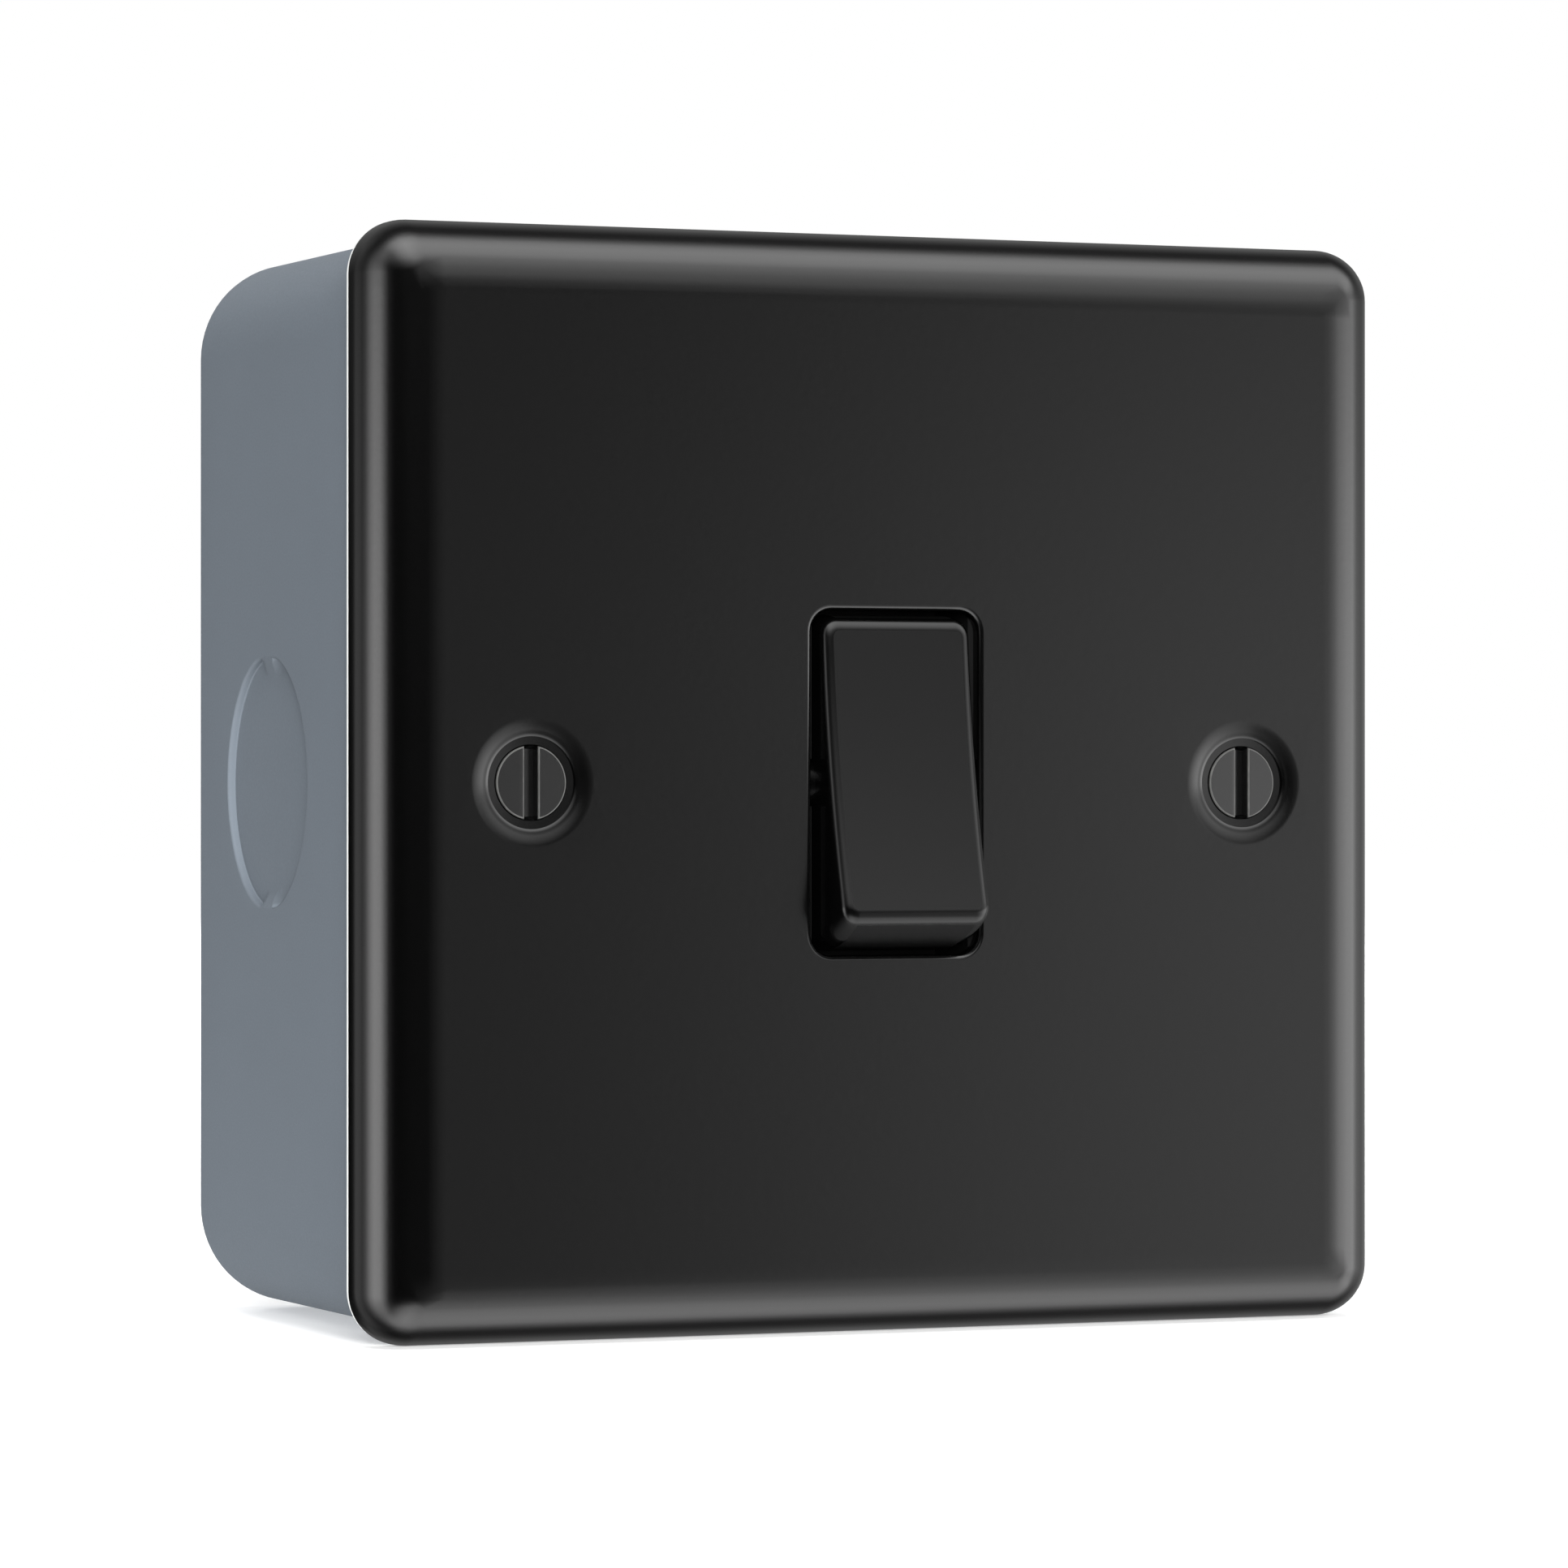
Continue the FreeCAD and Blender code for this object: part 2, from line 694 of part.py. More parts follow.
def plunger():
    tip_radius = plunger_tip_diameter / 2
    tip_y = pivot_y + plunger_reach
    head = rod(plunger_diameter, pivot_y + plunger_head_depth, pivot_y + barrel_depth + tip_radius)
    neck = rod(plunger_tip_diameter, pivot_y + barrel_depth, tip_y - tip_radius)
    ball = Part.makeSphere(tip_radius, vec(0, tip_y - tip_radius, 0))
    return tipped(head.fuse(neck).fuse(ball).removeSplitter())


def plunger_spring():
    # Wire of six flats, wound round a line along Z and then laid along the barrel.
    coil_radius = plunger_diameter / 2 - spring_clearance - spring_wire / 2
    start_y = pivot_y - barrel_floor_height + spring_wire / 2
    length = plunger_head_depth + barrel_floor_height - spring_wire
    helix = Part.makeHelix(length / spring_turns, length, coil_radius)
    section = hexagon(vec(coil_radius, 0, 0), spring_wire / 2).OuterWire
    spring = Part.Wire(helix.Edges).makePipeShell([section], True, True)
    spring.rotate(vec(0, 0, 0), right, -90)
    spring.translate(vec(0, start_y, 0))
    return tipped(spring)


def every_piece():
    box_back_y = -box_wall
    pieces = {
        "surface_box": surface_box(),
        "fixing_lug_left": fixing_lug(-1),
        "fixing_lug_right": fixing_lug(1),
        "box_earth_stud": earth_stud(box_earth_x, 0, box_back_y, -1),
        "box_earth_terminal": earth_block(box_earth_x, 0, box_back_y, -1),
        "box_earth_screw": clamp_screw(
            box_earth_x, 0, box_back_y - earth_block_depth / 2, -1, earth_screw_length),
        "plate_gasket": gasket(),
        "face_plate": face_plate(),
        "plate_screw_left": plate_screw(-screw_spacing / 2),
        "plate_screw_right": plate_screw(screw_spacing / 2),
        "plate_earth_stud": earth_stud(0, plate_earth_z, plate_inner_y, 1),
        "plate_earth_terminal": earth_block(0, plate_earth_z, plate_inner_y, 1),
        "plate_earth_screw": clamp_screw(
            0, plate_earth_z, plate_inner_y + earth_block_depth / 2, 1, earth_screw_length),
        "module_stud_left": module_stud(-1),
        "module_stud_right": module_stud(1),
        "module_nut_left": module_nut(-1),
        "module_nut_right": module_nut(1),
        "module_housing": module_housing(),
        "module_base": module_base(),
        "common_terminal": common_terminal(),
        "upper_way_terminal": way_terminal(1),
        "lower_way_terminal": way_terminal(-1),
        "upper_fixed_tip": fixed_tip(1),
        "lower_fixed_tip": fixed_tip(-1),
        "rocker": rocker(),
        "plunger": plunger(),
        "plunger_spring": plunger_spring(),
        "moving_contact": moving_contact(),
        "upper_moving_tip": moving_tip(1),
        "lower_moving_tip": moving_tip(-1),
    }
    for place, (x, z) in zip(("upper", "lower"), base_screw_places()):
        pieces[place + "_base_screw"] = base_screw(x, z)
    for place, z in terminal_heights().items():
        pieces[place + "_terminal_screw"] = terminal_screw(z)
    return pieces


os.makedirs("parts", exist_ok=True)
for name, shape in every_piece().items():
    shape.exportStep("parts/" + name + ".step")
    print(name, "solids", len(shape.Solids), "valid", shape.isValid(), "volume", round(shape.Volume, 2))
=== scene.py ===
import bpy
import bmesh
import json
import math
from mathutils import Matrix, Vector


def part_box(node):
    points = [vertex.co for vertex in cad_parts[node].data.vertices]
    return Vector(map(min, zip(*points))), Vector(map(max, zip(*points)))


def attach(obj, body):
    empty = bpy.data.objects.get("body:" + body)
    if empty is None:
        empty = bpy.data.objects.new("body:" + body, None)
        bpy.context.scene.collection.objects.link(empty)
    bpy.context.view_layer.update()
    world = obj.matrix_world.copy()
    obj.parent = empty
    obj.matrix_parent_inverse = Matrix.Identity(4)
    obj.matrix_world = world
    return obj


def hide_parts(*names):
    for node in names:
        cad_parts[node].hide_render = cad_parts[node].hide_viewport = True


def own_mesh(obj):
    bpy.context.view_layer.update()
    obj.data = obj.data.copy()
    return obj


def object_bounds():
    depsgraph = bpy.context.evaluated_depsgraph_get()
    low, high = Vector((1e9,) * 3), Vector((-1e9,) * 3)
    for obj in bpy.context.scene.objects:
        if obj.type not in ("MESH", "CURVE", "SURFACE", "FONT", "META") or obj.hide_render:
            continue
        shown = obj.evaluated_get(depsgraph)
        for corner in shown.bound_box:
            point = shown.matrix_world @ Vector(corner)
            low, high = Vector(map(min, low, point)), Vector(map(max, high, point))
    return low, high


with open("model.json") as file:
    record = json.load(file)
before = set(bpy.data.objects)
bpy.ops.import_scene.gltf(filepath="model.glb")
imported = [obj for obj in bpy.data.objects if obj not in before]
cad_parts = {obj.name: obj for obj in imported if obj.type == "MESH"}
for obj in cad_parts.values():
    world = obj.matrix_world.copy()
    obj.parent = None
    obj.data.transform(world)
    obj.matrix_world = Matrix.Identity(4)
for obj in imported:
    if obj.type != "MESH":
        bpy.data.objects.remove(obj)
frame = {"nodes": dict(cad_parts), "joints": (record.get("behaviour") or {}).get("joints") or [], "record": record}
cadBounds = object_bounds()
print("frame loaded:", len(frame["nodes"]), "nodes")

mm = 0.001
overcut = 1 * mm  # how far a cutter reaches out of what it cuts
toFront = Vector((0, -1, 0))
toWall = Vector((0, 1, 0))
toRight = Vector((1, 0, 0))
toTop = Vector((0, 0, 1))
nearly = 0.9  # cosines of the angle between two directions
exactly = 0.9999
weldGap = 1e-7  # distances that count as none
samePlace = 1e-6
samePlane = 1e-5
quarter = math.pi / 2


# Modelling helpers

def deselectAll():
    if bpy.context.object and bpy.context.object.mode != "OBJECT":
        bpy.ops.object.mode_set(mode="OBJECT")
    bpy.ops.object.select_all(action="DESELECT")


def makeActive(piece):
    deselectAll()
    piece.select_set(True)
    bpy.context.view_layer.objects.active = piece


def applyPlace(piece, name):
    makeActive(piece)
    piece.name = name
    piece.data.name = name
    bpy.ops.object.transform_apply(location=True, rotation=True, scale=True)
    return piece


def startEdit(piece):
    makeActive(piece)
    bpy.ops.object.mode_set(mode="EDIT")


def endEdit():
    bpy.ops.object.mode_set(mode="OBJECT")


def pick(kind, test):  # selects the vertices, edges or faces that pass the test
    bpy.ops.mesh.select_mode(type=kind)
    bpy.ops.mesh.select_all(action="DESELECT")
    mesh = bpy.context.edit_object.data
    shape = bmesh.from_edit_mesh(mesh)
    found = {"VERT": shape.verts, "EDGE": shape.edges, "FACE": shape.faces}[kind]
    for item in found:
        if test(item):
            item.select_set(True)
    shape.select_flush_mode()
    bmesh.update_edit_mesh(mesh)


def looksTo(face, direction, share=nearly):
    return face.normal.dot(direction) > share


def edgeRun(edge):
    return (edge.verts[1].co - edge.verts[0].co).normalized()


def edgeMid(edge):
    return (edge.verts[1].co + edge.verts[0].co) / 2


def runsBack(edge):  # from front to back
    return abs(edgeRun(edge).y) > nearly


def inPlane(edge, y):
    return all(abs(vert.co.y - y) < samePlane for vert in edge.verts)


def sharpEdge(edge, degrees=30):
    return len(edge.link_faces) == 2 and edge.calc_face_angle(0) > math.radians(degrees)


def bevelPicked(radius, steps, material=-1):
    bpy.ops.mesh.bevel(offset=radius, segments=steps, profile=0.5, clamp_overlap=False, material=material)


def addBlock(name, low, high):
    deselectAll()
    low, high = Vector(low), Vector(high)
    bpy.ops.mesh.primitive_cube_add(size=1, location=(low + high) / 2, scale=high - low)
    return applyPlace(bpy.context.object, name)


def addRoundedBlock(name, low, high, corner, steps):
    block = addBlock(name, low, high)
    startEdit(block)
    pick("EDGE", runsBack)
    bevelPicked(corner, steps)
    endEdit()
    return block


def addRod(name, radius, start, end, sides):
    deselectAll()
    start, end = Vector(start), Vector(end)
    turn = (end - start).to_track_quat("Z", "Y").to_euler()
    bpy.ops.mesh.primitive_cylinder_add(
        vertices=sides, radius=radius, depth=(end - start).length, location=(start + end) / 2,
        rotation=turn)
    return applyPlace(bpy.context.object, name)


def applyModifier(piece, kind, **settings):
    makeActive(piece)
    modifier = piece.modifiers.new("step", kind)
    for key, value in settings.items():
        setattr(modifier, key, value)
    bpy.ops.object.modifier_apply(modifier=modifier.name)


def thicken(piece, sheet):  # inwards from the outer faces
    applyModifier(piece, "SOLIDIFY", thickness=sheet, offset=-1, use_even_offset=True)


def combine(piece, tool, operation):  # UNION or DIFFERENCE with a second mesh, which is used up
    applyModifier(piece, "BOOLEAN", object=tool, operation=operation, solver="EXACT")
    bpy.data.objects.remove(tool)


def finishShape(piece, degrees=32, flatWeight=80):
    # clean mesh, outward normals, smooth curves beside flat faces
    startEdit(piece)
    bpy.ops.mesh.select_all(action="SELECT")
    bpy.ops.mesh.remove_doubles(threshold=weldGap)
    bpy.ops.mesh.normals_make_consistent(inside=False)
    endEdit()
    bpy.ops.object.shade_smooth_by_angle(angle=math.radians(degrees))
    applyModifier(piece, "WEIGHTED_NORMAL", keep_sharp=True, weight=flatWeight)


def acrossOf(normal):  # upright in a standing wall, level in the top and the bottom
    return toTop if abs(normal.z) < 0.5 else toRight


def cutWall(test, place, direction):  # splits the faces that pass the test along a plane
    pick("FACE", test)
    bpy.ops.mesh.bisect(plane_co=place, plane_no=direction, use_fill=False, threshold=weldGap)


def cutPatch(centre, normal, half):
    # four cuts leave a square patch round the centre, which is then taken out
    across = acrossOf(normal)
    along = normal.cross(across)

    def onWall(face):
        middle = face.calc_center_median() - centre
        return looksTo(face, normal, exactly) and abs(middle.dot(normal)) < samePlane

    def inStrip(face):
        return onWall(face) and abs((face.calc_center_median() - centre).dot(along)) < half

    def inSquare(face):
        return inStrip(face) and abs((face.calc_center_median() - centre).dot(across)) < half

    for side in (-1, 1):
        cutWall(onWall, centre + along * side * half, along)
    for side in (-1, 1):
        cutWall(inStrip, centre + across * side * half, across)
    pick("FACE", inSquare)
    bpy.ops.mesh.delete(type="ONLY_FACE")


def ringPatch(centre, normal, half, radius, rings, sides, through=False):
    # a round form in a flat wall: rings are (step inwards, step along the normal) pairs
    cutPatch(centre, normal, half)
    turn = normal.to_track_quat("Z", "Y").to_euler()
    bpy.ops.mesh.select_all(action="DESELECT")
    bpy.ops.mesh.primitive_circle_add(
        vertices=sides, radius=radius, fill_type="NGON", location=centre, rotation=turn)
    for inwards, out in rings:
        bpy.ops.mesh.select_mode(type="FACE")
        bpy.ops.mesh.inset(thickness=inwards, depth=out)
    if through:
        bpy.ops.mesh.delete(type="FACE")
    nearest = radius * 0.97  # just inside the circle's outline
    farthest = half * 1.5  # past the square's corners

    def outerEdge(edge):
        flat = all(abs((vert.co - centre).dot(normal)) < samePlace for vert in edge.verts)
        return edge.is_boundary and flat and nearest < (edgeMid(edge) - centre).length < farthest

    pick("EDGE", outerEdge)
    bpy.ops.mesh.bridge_edge_loops()


def softDip(width, depth, count):  # rings of a dip that grows steeper towards its middle
    rings = []
    for i in range(count):
        fall = math.cos(quarter * i / count) - math.cos(quarter * (i + 1) / count)
        rings.append((width / count, -depth * fall))
    return rings


def roundedCorner(radius, count):  # rings of a quarter round that turns from flat to straight in
    rings = []
    for i in range(count):
        a, b = quarter * i / count, quarter * (i + 1) / count
        rings.append((radius * (math.sin(b) - math.sin(a)), -radius * (math.cos(a) - math.cos(b))))
    return rings


def roundedTray(name, low, high, corner, cornerSteps, roll, rollSteps, closed):
    # a shallow rim with rounded corners, its closed end then rolled over in rings
    low, high = Vector(low), Vector(high)
    if closed.y < 0:
        low.y += roll
    else:
        high.y -= roll
    tray = addBlock(name, low, high)
    startEdit(tray)
    pick("FACE", lambda f: looksTo(f, -closed))
    bpy.ops.mesh.delete(type="ONLY_FACE")
    pick("EDGE", runsBack)
    bevelPicked(corner, cornerSteps)
    pick("FACE", lambda f: looksTo(f, closed))

    def onCorner(edge):  # a short edge in the outline of the face that closes the tray
        onEnd = any(looksTo(face, closed, exactly) for face in edge.link_faces)
        return onEnd and edge.calc_length() < corner / 2

    def closingFace(face):
        return looksTo(face, closed, exactly) and len(face.verts) in (4, 4 * cornerSteps + 4)

    cornersOpen = True
    usedUp = corner * 0.96
    for i in range(rollSteps):
        a, b = quarter * i / rollSteps, quarter * (i + 1) / rollSteps
        if cornersOpen and roll * (1 - math.cos(b)) > usedUp:
            # the corner's own radius is used up, so from here on the corners are mitred
            pick("EDGE", onCorner)
            bpy.ops.mesh.merge(type="COLLAPSE")
            cornersOpen = False
        pick("FACE", closingFace)
        bpy.ops.mesh.inset(
            thickness=roll * (math.cos(a) - math.cos(b)), depth=roll * (math.sin(b) - math.sin(a)))
    return tray


def findJoint(name):
    return [joint for joint in frame["joints"] if joint["name"] == name][0]


# Face plate

plateSizes = {
    "corner": 4.2 * mm, "cornerSteps": 14, "roll": 5.1 * mm, "rollSteps": 16, "besideCorner": 0.7 * mm,
    "sheet": 1.2 * mm, "openingWidth": 14.2 * mm, "openingHeight": 26.9 * mm, "openingReach": 3 * mm,
    "openingCorner": 1.7 * mm, "openingCornerSteps": 10, "openingEdge": 0.4 * mm,
    "openingEdgeSteps": 4, "dimple": 5.0 * mm, "dimpleDepth": 0.18 * mm, "dimpleSteps": 6,
    "lip": 3.9 * mm, "lipDepth": 0.10 * mm, "lipSteps": 4, "sink": 3.55 * mm, "sinkDepth": 0.50 * mm,
    "seatSlope": 0.03 * mm, "seat": 2.93 * mm, "seatDepth": 1.15 * mm, "seatSides": 96,
    "shankHole": 2.3 * mm, "patch": 6.5 * mm, "patchSides": 72,
}


def screwSeat(centre):  # a stepped and coned cutter for the hole that holds a screw head
    v = plateSizes
    seat = addRod(
        "seat", v["sink"], centre + toFront * overcut, centre + toWall * v["sinkDepth"], v["seatSides"])
    startEdit(seat)
    pick("FACE", lambda f: looksTo(f, toWall))
    bpy.ops.mesh.inset(thickness=v["sink"] - v["seat"], depth=v["seatSlope"])
    drop = v["seatDepth"] - v["sinkDepth"]
    bpy.ops.mesh.extrude_region_move(TRANSFORM_OT_translate={"value": (0, drop, 0)})
    cone = v["seat"] - v["shankHole"]
    bpy.ops.mesh.inset(thickness=cone, depth=cone)
    endEdit()
    return seat


def makeFacePlate():
    v = plateSizes
    low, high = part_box("face_plate")
    plate = roundedTray(
        "facePlate", low, high, v["corner"], v["cornerSteps"], v["roll"], v["rollSteps"], toFront)
    # cuts beside the mitred corners keep the corners' slanted normals off the long sides
    reach = high[0] - v["roll"] - v["besideCorner"]
    for normal in (toRight, toTop):
        for side in (-1, 1):
            cutWall(lambda f: True, normal * side * reach, normal)
    rings = softDip(v["dimple"] - v["lip"], v["dimpleDepth"], v["dimpleSteps"])
    rings += softDip(v["lip"] - v["sink"], v["lipDepth"], v["lipSteps"])
    rings += [(v["sink"] - v["shankHole"], 0)]
    screwCentres = []
    for node in ("plate_screw_left", "plate_screw_right"):
        screwLow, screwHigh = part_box(node)
        centre = Vector(((screwLow[0] + screwHigh[0]) / 2, low[1], 0))
        screwCentres.append(centre)
        ringPatch(centre, toFront, v["patch"], v["dimple"], rings, v["patchSides"], through=True)
    endEdit()
    thicken(plate, v["sheet"])
    for centre in screwCentres:
        combine(plate, screwSeat(centre), "DIFFERENCE")
    front = Vector((0, low[1], 0))
    half = Vector((v["openingWidth"] / 2, v["openingReach"], v["openingHeight"] / 2))
    window = addRoundedBlock(
        "window", front - half, front + half, v["openingCorner"], v["openingCornerSteps"])
    combine(plate, window, "DIFFERENCE")
    startEdit(plate)

    def onRim(edge):
        middle = edgeMid(edge)
        inside = abs(middle.x) < half.x + samePlane and abs(middle.z) < half.z + samePlane
        return inPlane(edge, low[1]) and inside and sharpEdge(edge)

    pick("EDGE", onRim)
    bevelPicked(v["openingEdge"], v["openingEdgeSteps"])
    endEdit()
    finishShape(plate)
    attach(plate, "root")
    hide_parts("face_plate")
    return plate


# Surface box

boxSizes = {
    "corner": 8.0 * mm, "cornerSteps": 16, "fold": 2.0 * mm, "foldSteps": 7, "sheet": 1.2 * mm,
    "knockout": 10.25 * mm, "knockoutSides": 96, "knockoutPatch": 1.08, "knockoutStep": 0.6 * mm,
    "knockoutEdge": 0.26 * mm, "edgeSteps": 3, "stepLean": 0.02 * mm, "footWidth": 0.08 * mm,
    "footDepth": 0.1 * mm, "knockoutFromWall": 19.0 * mm, "backKnockout": 22.0 * mm,
    "tieHalfAngle": 8.0, "tieLength": 1.5 * mm, "tieRing": 0.25 * mm, "hole": 2.4 * mm,
    "holeSides": 40, "holePatch": 1.4, "holeSpacing": 50.8 * mm, "holeEdge": 0.15 * mm,
}


def knockoutRings():  # rounded edge, steep step, foot and two flat rings for the ties
    v = boxSizes
    steep = v["knockoutStep"] - v["knockoutEdge"] - v["footDepth"]
    rest = v["tieLength"] - v["stepLean"] - v["footWidth"] - v["tieRing"]
    rings = roundedCorner(v["knockoutEdge"], v["edgeSteps"])
    rings += [(v["stepLean"], -steep), (v["footWidth"], -v["footDepth"])]
    rings += [(v["tieRing"], 0.0), (rest, 0.0)]
    return rings


def raiseTies(centre, normal):
    # at both ends of one diameter the step is bridged by a short ramp
    v = boxSizes
    across = acrossOf(normal)
    rampStart = v["knockout"] - v["knockoutEdge"]
    rampEnd = rampStart - v["tieLength"]
    sector = math.cos(math.radians(v["tieHalfAngle"]))
    deepest = v["sheet"] * 0.9  # past the knockout's floor

    def place(vert):  # distance from the centre, depth and share of the distance across
        offset = vert.co - centre
        depth = -offset.dot(normal)
        flat = offset + normal * depth
        return flat.length, depth, abs(flat.dot(across)) / max(flat.length, samePlace)

    def onTie(vert):
        radius, depth, share = place(vert)
        inRing = rampEnd - samePlane < radius < v["knockout"]
        return share > sector and inRing and samePlace < depth < deepest

    shape = bmesh.from_edit_mesh(bpy.context.edit_object.data)
    onTies = [place(vert) for vert in shape.verts if onTie(vert)]
    rings = sorted({(round(radius, 6), round(depth, 6)) for radius, depth, share in onTies})
    for ringRadius, ringDepth in rings:

        def onRing(vert):
            radius, depth, share = place(vert)
            same = abs(radius - ringRadius) < 2 * samePlace and abs(depth - ringDepth) < 2 * samePlace
            return same and onTie(vert)

        wanted = v["knockoutStep"] * min(1, max(0, (rampStart - ringRadius) / v["tieLength"]))
        pick("VERT", onRing)
        bpy.ops.transform.translate(value=normal * (ringDepth - wanted))


def makeSurfaceBox():
    v = boxSizes
    low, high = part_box("surface_box")
    box = roundedTray(
        "surfaceBox", low, high, v["corner"], v["cornerSteps"], v["fold"], v["foldSteps"], toWall)
    sideY = high[1] - v["knockoutFromWall"]
    places = [
        (Vector((low[0], sideY, 0)), -toRight),
        (Vector((high[0], sideY, 0)), toRight),
        (Vector((0, sideY, low[2])), -toTop),
        (Vector((0, sideY, high[2])), toTop),
        (Vector((0, high[1], v["backKnockout"])), toWall),
        (Vector((0, high[1], -v["backKnockout"])), toWall),
    ]
    half = v["knockout"] * v["knockoutPatch"]
    for centre, normal in places:
        ringPatch(centre, normal, half, v["knockout"], knockoutRings(), v["knockoutSides"])
        raiseTies(centre, normal)
    rings = roundedCorner(v["holeEdge"], v["edgeSteps"])
    half = v["hole"] * v["holePatch"]
    for x in (-v["holeSpacing"] / 2, v["holeSpacing"] / 2):
        for z in (-v["holeSpacing"] / 2, v["holeSpacing"] / 2):
            centre = Vector((x, high[1], z))
            ringPatch(
                centre, toWall, half, v["hole"] + v["holeEdge"], rings, v["holeSides"], through=True)
    endEdit()
    thicken(box, v["sheet"])
    finishShape(box)
    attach(box, "root")
    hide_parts("surface_box")
    return box


# Gasket

gasketSizes = {
    "corner": 4.2 * mm, "cornerSteps": 12, "width": 2.4 * mm, "edge": 0.08 * mm, "edgeSteps": 2,
    "edgeAngle": 60,
}


def makeGasket():
    v = gasketSizes
    low, high = Vector(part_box("plate_gasket")[0]), Vector(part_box("plate_gasket")[1])
    ring = addRoundedBlock("plateGasket", low, high, v["corner"], v["cornerSteps"])
    inset = Vector((v["width"], -overcut, v["width"]))
    hollow = addRoundedBlock(
        "hollow", low + inset, high - inset, v["corner"] - v["width"], v["cornerSteps"])
    combine(ring, hollow, "DIFFERENCE")
    startEdit(ring)
    pick("EDGE", lambda e: sharpEdge(e, v["edgeAngle"]))
    bevelPicked(v["edge"], v["edgeSteps"])
    endEdit()
    finishShape(ring)
    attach(ring, "root")
    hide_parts("plate_gasket")
    return ring


# Plate screws

screwSizes = {
    "head": 2.85 * mm, "sides": 72, "rim": 0.9 * mm, "shank": 1.75 * mm, "edge": 0.13 * mm,
    "edgeSteps": 2, "edgeAngle": 40, "slot": 1.1 * mm, "slotDepth": 1.15 * mm,
}


def makeScrews(coat, lighterEdge):
    # the left screw is modelled and the right one is its copy
    v = screwSizes
    low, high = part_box("plate_screw_left")
    x, faceY, tipY = (low[0] + high[0]) / 2, low[1], high[1]
    rimY = faceY + v["rim"]
    left = addRod("plateScrewLeft", v["head"], (x, faceY, 0), (x, rimY, 0), v["sides"])
    startEdit(left)
    pick("FACE", lambda f: looksTo(f, toWall))
    cone = v["head"] - v["shank"]
    shankLength = tipY - rimY - 2 * cone
    bpy.ops.mesh.inset(thickness=cone, depth=cone)
    bpy.ops.mesh.extrude_region_move(TRANSFORM_OT_translate={"value": (0, shankLength, 0)})
    bpy.ops.mesh.inset(thickness=cone / 2, depth=cone)
    endEdit()
    slot = addBlock(
        "slot", (x - v["slot"] / 2, faceY - overcut, -2 * v["head"]),
        (x + v["slot"] / 2, faceY + v["slotDepth"], 2 * v["head"]))
    combine(left, slot, "DIFFERENCE")
    left.data.materials.append(coat)
    left.data.materials.append(lighterEdge)
    startEdit(left)
    # the head's bevelled edges take the lighter grey edge material
    pick("EDGE", lambda e: inPlane(e, faceY) and sharpEdge(e, v["edgeAngle"]))
    bevelPicked(v["edge"], v["edgeSteps"], material=1)
    endEdit()
    finishShape(left)
    makeActive(left)
    bpy.ops.object.duplicate(linked=False)
    right = bpy.context.object
    right.location = Vector(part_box("plate_screw_right")[0]) - Vector(low)
    applyPlace(right, "plateScrewRight")
    for screw, node in ((left, "plate_screw_left"), (right, "plate_screw_right")):
        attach(screw, "root")
        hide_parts(node)


# Rocker

rockerSizes = {
    "width": 12.5 * mm, "faceLength": 23.6 * mm, "endHeight": 5.7 * mm, "dish": 0.7 * mm,
    "skirt": 2.0 * mm, "corner": 1.3 * mm, "cornerSteps": 6, "edge": 0.8 * mm, "edgeSteps": 7,
    "wall": 1.6 * mm, "tilt": 10.6, "trunnion": 1.8 * mm, "trunnionReach": 8.55 * mm,
    "barrel": 2.8 * mm, "barrelDepth": 7.0 * mm, "bore": 1.85 * mm, "boreStart": -1.5 * mm,
    "rodSides": 48, "endSteps": 7, "faceSteps": 10, "endSlack": 0.05 * mm, "smoothAngle": 38,
}


def tipWithRocker(piece, name, pivot, lay):  # lays a piece down, then tips it as the rocker rests
    turn = Matrix.Rotation(math.radians(-rockerSizes["tilt"]), 4, "X")
    piece.matrix_world = Matrix.Translation(pivot) @ turn @ lay
    applyPlace(piece, name)


def spinPicked(centre, degrees, steps):
    bpy.ops.mesh.spin(steps=steps, angle=math.radians(degrees), center=centre, axis=(1, 0, 0))


def rockerBlank(name, pivotY, inset, width, skirt):
    # its side outline is one vertex spun three times: an end, the dished face and the other end
    v = rockerSizes
    radius = math.hypot(v["faceLength"] / 2, v["endHeight"]) - inset
    front = v["endHeight"] - inset
    half = math.sqrt(radius ** 2 - front ** 2)
    dishRadius = (half ** 2 + v["dish"] ** 2) / (2 * v["dish"])
    endTurn = math.degrees(math.asin(front / radius) + math.asin(skirt / radius))
    faceTurn = 2 * math.degrees(math.asin(half / dishRadius))
    start = Vector((-width / 2, pivotY + skirt, -math.sqrt(radius ** 2 - skirt ** 2)))
    deselectAll()
    bpy.ops.mesh.primitive_plane_add(size=1 * mm, location=start)
    blank = applyPlace(bpy.context.object, name)
    startEdit(blank)
    bpy.ops.mesh.select_mode(type="VERT")
    bpy.ops.mesh.select_all(action="SELECT")
    bpy.ops.mesh.merge(type="CENTER")
    pivot = Vector((-width / 2, pivotY, 0))
    dishCentre = Vector((-width / 2, pivotY - front + v["dish"] - dishRadius, 0))
    spinPicked(pivot, endTurn, v["endSteps"])
    spinPicked(dishCentre, -faceTurn, v["faceSteps"])
    spinPicked(pivot, endTurn, v["endSteps"])
    bpy.ops.mesh.select_all(action="SELECT")
    bpy.ops.mesh.edge_face_add()
    bpy.ops.mesh.extrude_region_move(TRANSFORM_OT_translate={"value": (width, 0, 0)})
    bpy.ops.mesh.select_all(action="SELECT")
    bpy.ops.mesh.normals_make_consistent(inside=False)
    endEdit()
    return blank


